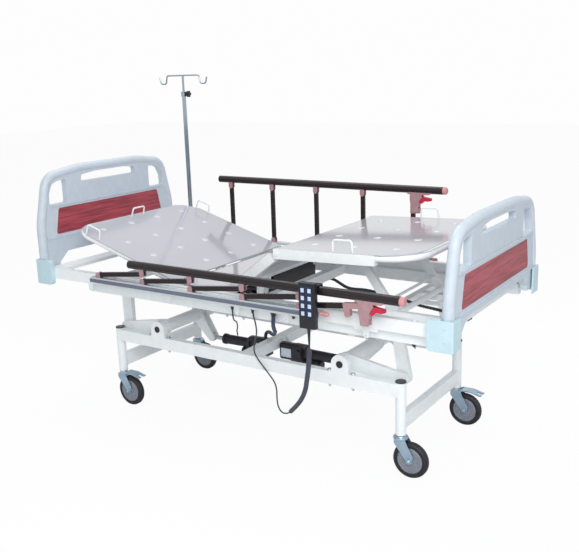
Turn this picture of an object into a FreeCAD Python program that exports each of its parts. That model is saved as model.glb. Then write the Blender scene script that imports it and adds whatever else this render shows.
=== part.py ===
# Electric hospital bed, millimetres. X runs to the foot end, Y to the far side, Z up, floor at Z = 0.
# It is drawn as it stands in use: back and knee raised, near side rail folded down, far side rail up.
import FreeCAD, Part
import math
import os

# Clearances
seat_gap = 0.3            # between two still bodies that touch in real life
running_fit = 0.05        # radial, between a pin and its bore
face_gap = 0.4            # beside a pin joint

# Base frame on castors
wheel_diameter = 150.0
wheel_width = 30.0
castor_height = 175.0     # floor to the bottom of the leg
castor_trail = 45.0
leg_spacing_x = 1520.0
leg_spacing_y = 578.0
leg_diameter = 42.0
leg_top = 395.0
base_rail_height = 56.0
base_rail_width = 30.0
base_rail_drop = 4.0      # leg top above rail top
cross_bottom = 198.0
cross_height = 60.0

# Lift arms and links
hub_x = 495.0             # lift shaft, either side of the middle
hub_z = 428.0
hub_radius = 40.0
shaft_radius = 20.0
torque_radius = 30.0
arm_reach_x = 255.0
arm_tip_z = 395.0
link_pin_radius = 8.0
arm_plane = 254.0         # middle of the lift arms, either side
link_plane = 228.0        # middle of the links and of the head legs
foot_link_top_x = 716.0
foot_link_top_z = 585.0
lever_pin_x = 410.0
lever_pin_z = 317.0
lift_base_x = 45.0
lift_base_z = 322.0

# Upper frame
frame_half_width = 460.0
side_tube_width = 30.0
side_tube_height = 50.0
side_tube_bottom = 657.0
low_tube_width = 34.0
low_tube_height = 45.0
board_thickness = 44.0
foot_board_face = 1044.0  # face towards the foot end
head_board_face = -1042.0 # face towards the mattress
board_rise = 106.0        # headboard above footboard
board_overhang = 18.0     # board beyond the side tube
board_half_width = frame_half_width + board_overhang
board_foot_z = 640.0
bracket_skin = 8.0        # moulded corners
bracket_reach = 150.0
bracket_wrap = 86.0       # how far a corner laps the face of a board
bracket_lap = board_half_width - bracket_wrap
bracket_bottom = 620.0
bracket_height = 150.0

# Mattress platform
hip_x = -262.0
seat_hinge_x = 10.0
hinge_z = 690.0
thigh_length = 328.0
leg_length = 600.0
platform_gap = 15.0       # beside the platform, inside the side tubes
platform_half_width = frame_half_width - side_tube_width - platform_gap
section_tube_width = 28.0
section_tube_height = 41.0
sheet_thickness = 2.0
tube_bite = 0.8           # how far a round tube is let into the sheet welded on it
platform_top = 712.0
back_length = 654.0
back_angle = 17.0         # as drawn
knee_angle = 37.0
leg_tilt = 2.0            # foot end above level, as drawn

# Side rails
rail_stand_off = 45.0     # middle of the rail outside the frame
rail_plane = frame_half_width + rail_stand_off
post_count = 5
post_pitch = 270.0
first_post_x = -640.0
post_length = 272.0
post_low_z = 724.0
rail_tube_radius = 18.0
rail_tube_rise = 36.0     # tube centre above the upper pins
rail_head_overhang = 76.0 # tube beyond the upper pins
rail_foot_overhang = 152.0
rail_tube_length = (post_count - 1) * post_pitch + rail_head_overhang + rail_foot_overhang
folded_rise = 31.0        # upper pin above lower pin when folded
post_half_width = 7.0
catch_half_width = 9.0    # plastic catch on the last post
catch_near = 15.0         # its two ends, from the upper pin
catch_far = 78.0

# Infusion pole
pole_x = -890.0
pole_y = frame_half_width - side_tube_width / 2
pole_radius = 11.0
pole_top = 1500.0
hook_bar_z = 1591.0

# Cords, outer radii
curly_radius = 10.0
thin_radius = 2.7
lead_radius = 8.5
mains_radius = 7.5

# The origin lies under the middle of the whole bed, not of the four legs
origin_x = 21.0
origin_y = 14.0

V = FreeCAD.Vector
Y_AXIS = V(0, 1, 0)


# Helpers

def block(x0, x1, y0, y1, z0, z1):
    return Part.makeBox(abs(x1 - x0), abs(y1 - y0), abs(z1 - z0),
                        V(min(x0, x1), min(y0, y1), min(z0, z1)))


def rod(radius, start, end):
    start, end = V(*start), V(*end)
    return Part.makeCylinder(radius, (end - start).Length, start, end - start)


def fuse(shapes):
    whole = shapes[0]
    if len(shapes) > 1:
        whole = shapes[0].multiFuse(shapes[1:])
    return whole.removeSplitter()


def cut(shape, tools):
    for tool in tools:
        shape = shape.cut(tool)
    return shape


def profile_xz(points, y0, y1):
    wire = Part.makePolygon([V(x, y0, z) for x, z in points + points[:1]])
    return Part.Face(wire).extrude(V(0, y1 - y0, 0))


def profile_yz(points, x0, x1):
    wire = Part.makePolygon([V(x0, y, z) for y, z in points + points[:1]])
    return Part.Face(wire).extrude(V(x1 - x0, 0, 0))


def profile_xy(points, z0, z1):
    wire = Part.makePolygon([V(x, y, z0) for x, y in points + points[:1]])
    return Part.Face(wire).extrude(V(0, 0, z1 - z0))


def taper(c0, r0, c1, r1, y0, y1):
    # Flat bar with round ends of two radii, lying in the XZ plane.
    dx, dz = c1[0] - c0[0], c1[1] - c0[1]
    length = math.hypot(dx, dz)
    lean = math.asin((r0 - r1) / length)
    along = math.atan2(dz, dx)
    corners = []
    for side in (1, -1):
        a = along + side * (math.pi / 2 - lean)
        pair = [(c0[0] + r0 * math.cos(a), c0[1] + r0 * math.sin(a)),
                (c1[0] + r1 * math.cos(a), c1[1] + r1 * math.sin(a))]
        corners += pair if side == 1 else pair[::-1]
    body = profile_xz(corners, y0, y1)
    ends = [rod(r, (c[0], y0, c[1]), (c[0], y1, c[1])) for c, r in ((c0, r0), (c1, r1))]
    return fuse([body] + ends)


def bore(x, z, radius, y0, y1):
    return rod(radius, (x, y0, z), (x, y1, z))


def mirrored(shape):
    return shape.mirror(V(0, 0, 0), Y_AXIS)


def both(shape):
    return [shape, mirrored(shape)]


def turned(shape, x, z, degrees):
    # Positive lifts whatever lies on the foot side of the pin.
    copy = shape.copy()
    copy.rotate(V(x, 0, z), V(0, -1, 0), degrees)
    return copy


def bent_path(points, radius):
    # Straight runs joined by tangent arcs.
    pts = [V(*p) for p in points]
    radii = radius if isinstance(radius, list) else [radius] * (len(pts) - 2)
    edges = []
    last = pts[0]
    for a, b, c, r in zip(pts, pts[1:], pts[2:], radii):
        into, out = (b - a).normalize(), (c - b).normalize()
        half = into.getAngle(out) / 2
        back = r * math.tan(half)
        start, end = b - into * back, b + out * back
        bisector = (out - into).normalize()
        middle = b + bisector * (r / math.cos(half) - r)
        if (start - last).Length > 1e-6:
            edges.append(Part.LineSegment(last, start).toShape())
        edges.append(Part.Arc(start, middle, end).toShape())
        last = end
    edges.append(Part.LineSegment(last, pts[-1]).toShape())
    return Part.Wire(edges)


def bent_tube(points, bend, tube_radius):
    wire = bent_path(points, bend)
    first, second = V(*points[0]), V(*points[1])
    ring = Part.Wire(Part.makeCircle(tube_radius, first, second - first))
    return wire.makePipeShell([ring], True, False)


def place_z(x, z, degrees, px, pz):
    # Where a point of the flat platform goes when it turns about a pin.
    a = math.radians(degrees)
    dx, dz = px - x, pz - z
    return x + dx * math.cos(a) - dz * math.sin(a), z + dx * math.sin(a) + dz * math.cos(a)


# Base frame

def base_leg(x, y):
    post = rod(leg_diameter / 2, (x, y, castor_height), (x, y, leg_top))
    cap = rod(leg_diameter / 2 + 1, (x, y, leg_top), (x, y, leg_top + 5))
    return fuse([post, cap])


def bearing_lug(x):
    outer = leg_spacing_y / 2 + leg_diameter / 2
    inner = outer - base_rail_width
    ring = rod(hub_radius, (x, -outer, hub_z), (x, -inner, hub_z))
    web = block(x - hub_radius, x + hub_radius, -outer, -inner, rail_top() - 20, hub_z)
    return fuse([ring, web])


def rail_top():
    return leg_top - base_rail_drop


def actuator_ear(side, y0, y1):
    # Ear on the middle cross tube, for the rear pin of a lift actuator.
    x = side * lift_base_x
    top, bottom = rail_top() - 4, rail_top() - 44
    plate = profile_xz([(side * 19, top), (side * 19, bottom), (x - side * 14, lift_base_z - 10),
                        (x + side * 2, lift_base_z - 14), (x + side * 14, lift_base_z),
                        (x + side * 10, lift_base_z + 16)], y0, y1)
    return plate


def base_frame():
    hx, hy = leg_spacing_x / 2, leg_spacing_y / 2
    outer = hy + leg_diameter / 2
    inner = outer - base_rail_width
    top = rail_top()
    parts = [base_leg(sx * hx, sy * hy) for sx in (1, -1) for sy in (1, -1)]
    rail = block(-hx, hx, -outer, -inner, top - base_rail_height, top)
    parts += both(rail)
    for x in (-hx, hx):
        parts.append(block(x - 15, x + 15, -hy, hy, cross_bottom, cross_bottom + cross_height))
    parts.append(block(-20, 20, -inner - 5, inner + 5, top - 50, top))
    for x in (-hub_x, hub_x):
        parts += both(bearing_lug(x))
    for side in (1, -1):
        for y in (-20.0, 13.5):
            parts.append(actuator_ear(side, y, y + 6.5))
    frame = fuse(parts)
    holes = []
    for x in (-hub_x, hub_x):
        holes.append(bore(x, hub_z, shaft_radius + running_fit, -outer - 1, outer + 1))
    for side in (1, -1):
        holes.append(bore(side * lift_base_x, lift_base_z, 6 + running_fit, -25, 25))
    for sx in (1, -1):
        for sy in (1, -1):
            x, y = sx * hx, sy * hy
            holes.append(rod(6 + running_fit, (x, y, castor_height - 1), (x, y, castor_height + 44)))
    return cut(frame, holes)


# Castors

def castor_fork(cx, cy):
    stem = rod(6, (cx, cy, castor_height - 10), (cx, cy, castor_height + 42))
    dome = Part.makeCone(20.5, 17, 14, V(cx, cy, castor_height - 14.4))
    crown = block(cx - 21, cx + 25, cy - 21, cy + 21, castor_height - 21, castor_height - 14)
    shape = [stem, dome, crown]
    ax, az = cx + castor_trail, wheel_diameter / 2
    cheek = [(cx - 21, castor_height - 14), (cx + 25, castor_height - 14), (ax + 17, az + 22),
             (ax + 13, az - 8), (ax - 6, az - 12), (ax - 13, az - 2), (cx - 21, castor_height - 34)]
    for y in (cy - 21, cy + 18):
        shape.append(profile_xz(cheek, y, y + 3))
    shape.append(rod(6, (ax, cy - 24, az), (ax, cy + 24, az)))
    for y in (cy - 25, cy + 21):
        shape.append(rod(9, (ax, y, az), (ax, y + 4, az)))
    return fuse(shape)


def braked_fork(cx, cy):
    pin = rod(3, (cx + 14, cy - 25.5, castor_height - 18), (cx + 14, cy + 25.5, castor_height - 18))
    return fuse([castor_fork(cx, cy), pin])


def castor_pedal(cx, cy):
    px, pz = cx + 14, castor_height - 18
    shape = []
    for y in (cy - 24.4, cy + 21.4):
        shape.append(profile_xz([(px - 7, pz - 6), (px + 7, pz - 6), (px + 22, pz + 9),
                                 (px + 22, pz + 14), (px + 12, pz + 14), (px - 7, pz + 5)], y, y + 3))
    tread = [(px + 16, pz + 14), (px + 16, pz + 9), (px + 62, pz + 9), (px + 98, pz - 1),
             (px + 110, pz - 1), (px + 110, pz + 3), (px + 99, pz + 4), (px + 63, pz + 14)]
    shape.append(profile_xz(tread, cy - 24.4, cy + 24.4))
    notch = profile_xz([(px + 84, pz - 5), (px + 115, pz - 5), (px + 115, pz + 20),
                        (px + 84, pz + 20)], cy - 8, cy + 8)
    pedal = cut(fuse(shape), [notch, bore(px, pz, 3 + running_fit, cy - 30, cy + 30)])
    return pedal


def castor_wheel(cx, cy):
    ax, az = cx + castor_trail, wheel_diameter / 2
    r, w = wheel_diameter / 2, wheel_width / 2
    fit = 6 + running_fit
    half = [(fit, 17.4), (16, 17.4), (18, 10), (34, 9), (36, 12), (52, 12), (55, w - 1),
            (r - 8, w), (r - 2, w - 4), (r, w - 9)]
    section = half + [(a, -b) for a, b in half[::-1]]
    wire = Part.makePolygon([V(ax + a, cy + b, az) for a, b in section + section[:1]])
    return Part.Face(wire).revolve(V(ax, cy, az), Y_AXIS, 360)


# Lift shafts, arms and links

def lift_shaft(side):
    outer = leg_spacing_y / 2 + leg_diameter / 2
    inner = outer - base_rail_width
    x = side * hub_x
    tip = (side * (hub_x + arm_reach_x), arm_tip_z)
    shape = [rod(torque_radius, (x, -inner + 0.4, hub_z), (x, inner - 0.4, hub_z)),
             rod(shaft_radius, (x, -outer + 0.3, hub_z), (x, outer - 0.3, hub_z)),
             rod(15, (x, -outer - 2, hub_z), (x, outer + 2, hub_z))]
    arm = taper((x, hub_z), 36, tip, 25, -arm_plane - 8, -arm_plane + 8)
    pin = rod(link_pin_radius, (tip[0], -arm_plane, tip[1]), (tip[0], -link_plane + 17, tip[1]))
    head = rod(12, (tip[0], -link_plane + 12.4, tip[1]), (tip[0], -link_plane + 17, tip[1]))
    nut = rod(12, (tip[0], -arm_plane - 12, tip[1]), (tip[0], -arm_plane - 7, tip[1]))
    for piece in (arm, pin, head, nut):
        shape += both(piece)
    lever = taper((x, hub_z), 36, (side * lever_pin_x, lever_pin_z), 18, -21, -13)
    shape += both(lever)
    shape.append(bore(side * lever_pin_x, lever_pin_z, 6, -24, 24))
    return fuse(shape)


def foot_link():
    # Pinned on the foot arm; its upper pin slides in the hanger of the upper frame.
    low = (hub_x + arm_reach_x, arm_tip_z)
    top = (foot_link_top_x, foot_link_top_z)
    bar = taper(low, 27, top, 22, -link_plane - 12, -link_plane + 12)
    pin = rod(link_pin_radius, (top[0], -link_plane - 24, top[1]), (top[0], -link_plane + 24, top[1]))
    hole = bore(low[0], low[1], link_pin_radius + running_fit, -link_plane - 20, -link_plane + 20)
    return cut(bar, [hole]).fuse(pin)


# Actuators

def actuator_axis(base, pin):
    return math.degrees(math.atan2(pin[1] - base[1], pin[0] - base[0]))


def actuator_housing(base, y, tube_end, motor_side):
    # Drawn along +X from the rear pin, then turned to point at the rod pin.
    bx, bz = base
    eye = rod(13, (bx, y - 13, bz), (bx, y + 13, bz))
    neck = block(bx, bx + 24, y - 12, y + 12, bz - 11, bz + 11)
    rear_pin = bore(bx, bz, 6, y - 23, y + 23)
    gear = block(bx + 18, bx + 92, y - 29, y + 29, bz - 31, bz + 31)
    gear = gear.makeFillet(9, [e for e in gear.Edges if abs(e.tangentAt(0).y) > 0.9])
    tube = rod(23, (bx + 85, y, bz), (bx + tube_end, y, bz))
    collar = rod(26, (bx + tube_end - 14, y, bz), (bx + tube_end, y, bz))
    drop = motor_side * 46
    motor = rod(26, (bx + 60, y, bz + drop), (bx + 172, y, bz + drop))
    cap = rod(21, (bx + 172, y, bz + drop), (bx + 180, y, bz + drop))
    saddle = block(bx + 22, bx + 90, y - 25, y + 25, min(bz, bz + drop), max(bz, bz + drop))
    body = fuse([eye, neck, rear_pin, gear, tube, collar, motor, cap, saddle])
    body = body.cut(rod(10 + running_fit, (bx + 110, y, bz), (bx + tube_end + 1, y, bz)))
    return body


def actuator_rod(base, pin, y, eye_inner, draw_in):
    bx, bz = base
    length = math.hypot(pin[0] - base[0], pin[1] - base[1])
    start = bx + 112 + draw_in
    outer = eye_inner + 7
    shaft = rod(10, (start, y, bz), (bx + length - outer + 3, y, bz))
    eye = rod(outer, (bx + length, y - 12.5, bz), (bx + length, y + 12.5, bz))
    return fuse([shaft, eye]).cut(bore(bx + length, bz, eye_inner, y - 20, y + 20))


def aimed(shape, base, pin):
    return turned(shape, base[0], base[1], actuator_axis(base, pin))


# Upper frame

def slot_hanger(y0, y1):
    # Plate with a level slot for the foot link's upper pin.
    x0, x1, z = 622.0, 746.0, foot_link_top_z
    plate = profile_xz([(590, 621), (590, 600), (x0, 568), (x1 - 14, 568), (x1, 582), (x1, 621)],
                       y0, y1)
    r = link_pin_radius + seat_gap
    left, right = foot_link_top_x - 74, foot_link_top_x + 7
    slot = fuse([block(left, right, y0 - 1, y1 + 1, z - r, z + r),
                 bore(left, z, r, y0 - 1, y1 + 1), bore(right, z, r, y0 - 1, y1 + 1)])
    return plate.cut(slot)


def strut_tracks():
    # Channels for the lower cross tube of the leg strut, seated on the hangers and the foot cross tube.
    x0, x1 = strut_foot[0] - 42, foot_cross_x - seat_gap
    z0 = side_tube_bottom - 36 + seat_gap
    z1, wall = z0 + 50, 6
    web = block(x0, x1, -262, -262 + wall, z0, z1)
    lips = [block(x0, x1, -262, -240, z, z + wall) for z in (z0, z1 - wall)]
    return Part.makeCompound(both(fuse([web] + lips)))


def head_leg():
    x = -(hub_x + arm_reach_x)
    y0, y1 = -link_plane - 12, -link_plane + 12
    bar = fuse([block(x - 29, x + 29, y0, y1, arm_tip_z, 620), bore(x, arm_tip_z, 29, y0, y1)])
    return bar.cut(bore(x, arm_tip_z, link_pin_radius + running_fit, y0 - 1, y1 + 1))


def frame_bracket(x, hole):
    # Small tab with an accessory hole, welded under the side tube.
    w = frame_half_width
    plate = profile_xz([(x - 14, 658), (x + 14, 658), (x + 12, 632), (x + 6, 624),
                        (x - 6, 624), (x - 12, 632)], -w + 2, -w + 7)
    return plate.cut(bore(x, 636, 4, -w, -w + 10)) if hole else plate


def tee_bracket(x):
    w = frame_half_width
    foot = block(x - 47, x + 47, -w + 1, -w + 7, 645, 660)
    tab = profile_xz([(x - 12, 650), (x + 12, 650), (x + 9, 618), (x - 9, 618)], -w + 1, -w + 7)
    return fuse([foot, tab]).cut(bore(x, 627, 4.5, -w, -w + 10))


def platform_ear(x, z, side, y0, y1, root):
    # Ear for the rear pin of a platform actuator, standing out from a cross tube.
    return profile_xz([(root, 654), (root, 616), (x, z - 14), (x + side * 14, z - 4),
                       (x + side * 14, z + 6), (x + side * 4, z + 14)], y0, y1)


back_base = (62.0, 626.0)
knee_base = (-292.0, 634.0)
back_motor_y = -60.0
knee_motor_y = -200.0
foot_cross_x = 905.0
strut_foot = (706.0, 646.0)


def upper_frame():
    w = frame_half_width
    inner = w - side_tube_width
    low = inner - low_tube_width
    top = side_tube_bottom + side_tube_height
    head_end = head_board_face + seat_gap
    foot_end = foot_board_face - board_thickness - seat_gap
    parts = []
    side = block(head_end, foot_end, -w, -inner, side_tube_bottom, top)
    lower = block(-790, foot_end - 6, -inner, -low, side_tube_bottom - low_tube_height, side_tube_bottom + 1)
    parts += both(side) + both(lower)
    for x0, x1 in ((head_end + 8, head_end + 98), (foot_end - 32, foot_end - 6)):
        parts.append(block(x0, x1, -inner - 1, inner + 1, top - 14, top))
    for x in (-770, -396, 86, foot_cross_x):
        parts.append(block(x, x + 40, -low - 1, low + 1, side_tube_bottom - 43, side_tube_bottom - 1))
    parts.append(block(588, 620, -low - 1, low + 1, side_tube_bottom - 65, side_tube_bottom - 35))
    for x0, x1 in ((-236, -206), (-50, -20)):
        parts.append(block(x0, x1, -inner - 1, inner + 1, platform_top - 35, platform_top - 4))
    for y in (-link_plane - 18, -link_plane + 18):
        parts += both(slot_hanger(y - 3, y + 3))
    parts += both(head_leg())
    for x in (hip_x, seat_hinge_x):
        parts += both(rod(6, (x, -inner - 2, hinge_z), (x, 37 - platform_half_width, hinge_z)))
    for x, hole in ((-757, False), (-277, False), (98, False), (341, True)):
        parts += both(frame_bracket(x, hole))
    parts += both(tee_bracket(698))
    for y in (back_motor_y - 20.5, back_motor_y + 13.5):
        parts.append(platform_ear(back_base[0], back_base[1], -1, y, y + 7, 88))
    for y in (knee_motor_y - 20.5, knee_motor_y + 13.5):
        parts.append(platform_ear(knee_base[0], knee_base[1], 1, y, y + 7, -358))
    frame = fuse(parts)
    holes = [bore(back_base[0], back_base[1], 6 + running_fit, back_motor_y - 25, back_motor_y + 25),
             bore(knee_base[0], knee_base[1], 6 + running_fit, knee_motor_y - 25, knee_motor_y + 25)]
    for x in (pole_x, -pole_x):
        for y in (-pole_y, pole_y):
            holes.append(rod(pole_radius + running_fit, (x, y, side_tube_bottom - 1), (x, y, top + 1)))
    return cut(frame, holes)


# Head and foot boards

def rim_line():
    return board_half_width - board_thickness / 2


def board_rim(mid, rise, leg_bottom):
    # Centre line of the round rim: upright foot, leaning side, tight corner, shallow arch.
    w = rim_line()
    half = [(w, leg_bottom), (w, 800 + rise), (w - 54, 1026 + rise), (w - 251, 1052 + rise)]
    radii = [300, 74, 700]
    points = [(mid, -y, z) for y, z in half] + [(mid, y, z) for y, z in half[::-1]]
    return bent_path(points, radii + radii[::-1])


def board(face_x, thickness, rise, leg_bottom):
    # Moulded board: a round rim around a thinner panel with three hand holes and a low arch.
    mid = face_x + thickness / 2 if face_x < 0 else face_x - thickness / 2
    r = thickness / 2
    spine = board_rim(mid, rise, leg_bottom)
    w = rim_line()
    ring = Part.Wire(Part.makeCircle(r, V(mid, -w, leg_bottom), V(0, 0, 1)))
    rim = spine.makePipeShell([ring], True, False)
    closing = Part.LineSegment(V(mid, w, leg_bottom), V(mid, -w, leg_bottom)).toShape()
    t = thickness * 0.36
    panel = Part.Face(Part.Wire(spine.Edges + [closing])).extrude(V(2 * t, 0, 0))
    panel.translate(V(-t, 0, 0))
    body = fuse([rim, panel])
    tools = [low_arch(rise, leg_bottom)]
    out, slot = w - 50, w - 260
    for side in (1, -1):
        tools.append(hand_hole([(side * (out - 114), 894), (side * out, 894), (side * (out - 4), 950),
                                (side * (out - 26), 992), (side * (out - 56), 1004),
                                (side * (out - 114), 1010)], rise))
    tools.append(hand_hole([(-slot, 984), (slot, 984), (slot - 8, 1018), (slot / 2, 1027), (-slot / 2, 1027),
                            (8 - slot, 1018)], rise))
    tools.append(wood_outline(rise, seat_gap, mid - 50, mid + 50))
    body = cut(body, tools)
    for z0, reach in ((884, w - 46), (729, w - 16)):
        ridge = block(mid - t - 5, mid + t + 5, -reach, reach, z0 + rise, z0 + 9 + rise)
        body = body.fuse(ridge)
    return body.removeSplitter()


def hand_hole(points, rise):
    pts = [(y, z + rise) for y, z in points]
    shape = profile_yz(pts, -1300, 1300)
    edges = [e for e in shape.Edges if abs(e.tangentAt(0).x) > 0.9]
    return shape.makeFillet(10, edges)


def low_arch(rise, leg_bottom):
    top = 655 + rise if rise > 50 else 709 + rise
    w = rim_line() - 84
    pts = [(-w, leg_bottom - 5), (-w, top - 46), (54 - w, top), (w - 54, top), (w, top - 46),
           (w, leg_bottom - 5)]
    return profile_yz(pts, -1300, 1300)


def wood_outline(rise, grow, x0, x1):
    low = rim_line() - 78 + grow
    high = low - 26
    pts = [(-low, 747 - grow), (low, 747 - grow), (high, 873 + grow), (-high, 873 + grow)]
    shape = profile_yz([(y, z + rise) for y, z in pts], x0, x1)
    edges = [e for e in shape.Edges if abs(e.tangentAt(0).x) > 0.9]
    return shape.makeFillet(12 + grow, edges)


def board_insert(face_x, rise):
    mid = face_x + board_thickness / 2 if face_x < 0 else face_x - board_thickness / 2
    t = board_thickness * 0.36 - 1.5
    return wood_outline(rise, 0, mid - t, mid + t)


def corner_brackets():
    # Moulded corners that wrap the ends of the side tubes and the feet of the boards.
    tube = frame_half_width + seat_gap
    edge = board_half_width + seat_gap
    shapes = []
    for end in (1, -1):
        face = foot_board_face if end > 0 else head_board_face - board_thickness
        inside = face - end * (board_thickness + seat_gap)
        outside = face + end * seat_gap
        outer = outside + end * bracket_skin
        root = face - end * bracket_reach
        outline = [(root, -tube), (inside, -tube), (inside, -edge), (outside, -edge), (outside, -bracket_lap),
                   (outer, -bracket_lap), (outer, -edge - bracket_skin), (inside - end * 24, -edge - bracket_skin),
                   (root, -tube - bracket_skin)]
        corner = profile_xy(outline, bracket_bottom, bracket_bottom + bracket_height)
        upright = [e for e in corner.Edges if abs(e.tangentAt(0).z) > 0.9
                   and abs(e.CenterOfMass.x - outer) < 0.1 and e.CenterOfMass.y < -edge]
        corner = corner.makeFillet(bracket_skin - 1, upright)
        along = [e for e in corner.Edges if abs(e.tangentAt(0).y) > 0.9
                 and abs(e.CenterOfMass.x - root) < 0.1]
        corner = corner.makeFillet(14, along)
        shapes += both(corner)
    return Part.makeCompound(shapes)


# Mattress platform, drawn flat and then raised

def dimple(x, y):
    return Part.makeCone(17, 11, 2.5, V(x, y, platform_top - 0.01))


def retainer(x, y, along_x):
    # Bent rod that holds the mattress in place.
    d, z0, z1 = 44.0, platform_top - 12, platform_top + 46
    if along_x:
        pts = [(x - d, y, z0), (x - d + 4, y, z1), (x + d - 4, y, z1), (x + d, y, z0)]
    else:
        pts = [(x, y - d, z0), (x, y - d + 4, z1), (x, y + d - 4, z1), (x, y + d, z0)]
    return bent_tube(pts, 12, 4)


def back_flat():
    r = 12.5
    hw = platform_half_width - r
    z = platform_top - sheet_thickness - r + tube_bite
    x0, x1 = hip_x - 6, hip_x - back_length - 8
    loop = bent_tube([(x0, -hw, z), (x1, -hw, z), (x1, hw, z), (x0, hw, z)], 105, r)
    start = hip_x - 13
    end = hip_x - back_length
    w = platform_half_width
    outline = [(start, -w), (end + 85, -w), (end, 85 - w), (end, w - 85), (end + 85, w), (start, w)]
    wire = Part.makePolygon([V(x, y, platform_top - sheet_thickness) for x, y in outline + outline[:1]])
    sheet = Part.Face(wire).extrude(V(0, 0, sheet_thickness))
    parts = [loop, sheet]
    for x in (hip_x - 40, hip_x - 230, hip_x - 430):
        parts.append(block(x - 26, x, -hw, hw, z - r, platform_top - sheet_thickness + 0.5))
    for s in (1, -1):
        y0 = s * hw - 7
        lug = fuse([rod(18, (hip_x, y0, hinge_z), (hip_x, y0 + 14, hinge_z)),
                    block(hip_x - 40, hip_x - 4, y0, y0 + 14, hinge_z - 14, z)])
        parts.append(lug)
    parts += both(retainer(hip_x - 540, -hw, True))
    parts.append(retainer(end + 14, 0, False))
    for i in range(4):
        for j in range(4):
            parts.append(dimple(hip_x - 90 - 165 * i, -310 + 190 * j + 20))
    pin = (hip_x + 60 * math.cos(math.radians(-110 + back_angle)),
           hinge_z + 60 * math.sin(math.radians(-110 + back_angle)))
    for y in (back_motor_y - 21, back_motor_y + 13):
        plate = profile_xz([(hip_x - 50, z + 2), (hip_x - 50, z - r), (pin[0] - 16, pin[1] - 6),
                            (pin[0] - 4, pin[1] - 15), (pin[0] + 14, pin[1] - 8), (pin[0] + 16, pin[1] + 4),
                            (hip_x - 12, z + 2)], y, y + 8)
        parts.append(plate)
    parts.append(bore(pin[0], pin[1], 6, back_motor_y - 24, back_motor_y + 24))
    body = fuse(parts)
    return body.cut(bore(hip_x, hinge_z, 6 + running_fit, -w - 15, w + 15))


def back_section():
    return turned(back_flat(), hip_x, hinge_z, -back_angle)


def seat_section():
    z = platform_top - 4 + seat_gap
    x0, x1 = hip_x + 24, seat_hinge_x - 24
    w = platform_half_width + 9
    sheet = block(x0, x1, -w, w, z, platform_top)
    return sheet


def section_tube(x0, x1, round_start):
    w = platform_half_width
    z0, z1 = hinge_z - 20.5, hinge_z + 20.5
    tube = block(x0, x1, -w, -w + section_tube_width, z0, z1)
    if round_start is None:
        return tube
    return fuse([tube, rod(20.5, (round_start, -w, hinge_z), (round_start, -w + section_tube_width, hinge_z))])


knee_x = seat_hinge_x + thigh_length


def thigh_flat():
    w = platform_half_width
    inner = w - section_tube_width
    parts = both(section_tube(seat_hinge_x, knee_x - 27, seat_hinge_x))
    sheet = block(seat_hinge_x + 14, knee_x - 13, -w, w, platform_top - sheet_thickness, platform_top)
    parts.append(sheet)
    for x in (seat_hinge_x + 60, knee_x - 62):
        parts.append(block(x, x + 28, -inner - 1, inner + 1, hinge_z - 8, hinge_z + 20.5))
    lug = fuse([block(knee_x - 60, knee_x, -inner, -inner + 8, hinge_z - 16, hinge_z + 16),
                rod(16, (knee_x, -inner, hinge_z), (knee_x, -inner + 8, hinge_z))])
    lug.translate(V(0, face_gap, 0))
    bridge = block(knee_x - 60, knee_x - 28, -inner - 1, -inner + 2, hinge_z - 16, hinge_z + 16)
    pin = rod(6, (knee_x, -w - 4, hinge_z), (knee_x, -inner + 6, hinge_z))
    head = rod(10, (knee_x, -w - 5, hinge_z), (knee_x, -w - face_gap, hinge_z))
    for piece in (lug, bridge, pin, head):
        parts += both(piece)
    pin_at = lever_point()
    for y in (knee_motor_y - 21, knee_motor_y + 13):
        parts.append(profile_xz([(seat_hinge_x + 62, hinge_z + 12), (seat_hinge_x + 88, hinge_z - 8),
                                 (pin_at[0] + 17, pin_at[1] - 2), (pin_at[0] + 2, pin_at[1] - 15),
                                 (pin_at[0] - 13, pin_at[1] - 8), (pin_at[0] - 13, pin_at[1] + 8),
                                 (seat_hinge_x + 44, hinge_z + 18)], y, y + 8))
    parts.append(bore(pin_at[0], pin_at[1], 6, knee_motor_y - 24, knee_motor_y + 24))
    for x in ((seat_hinge_x + 90), (seat_hinge_x + 240)):
        for j in range(4):
            parts.append(dimple(x, -290 + 193 * j))
    body = fuse(parts)
    return body.cut(bore(seat_hinge_x, hinge_z, 6 + running_fit, -w - 15, w + 15))


def lever_point():
    # Pin of the knee lever while the platform is flat.
    a = math.radians(-60 - knee_angle)
    return seat_hinge_x + 70 * math.cos(a), hinge_z + 70 * math.sin(a)


def thigh_section():
    return turned(thigh_flat(), seat_hinge_x, hinge_z, knee_angle)


strut_pin_flat = (619.0, 649.0)


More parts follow.
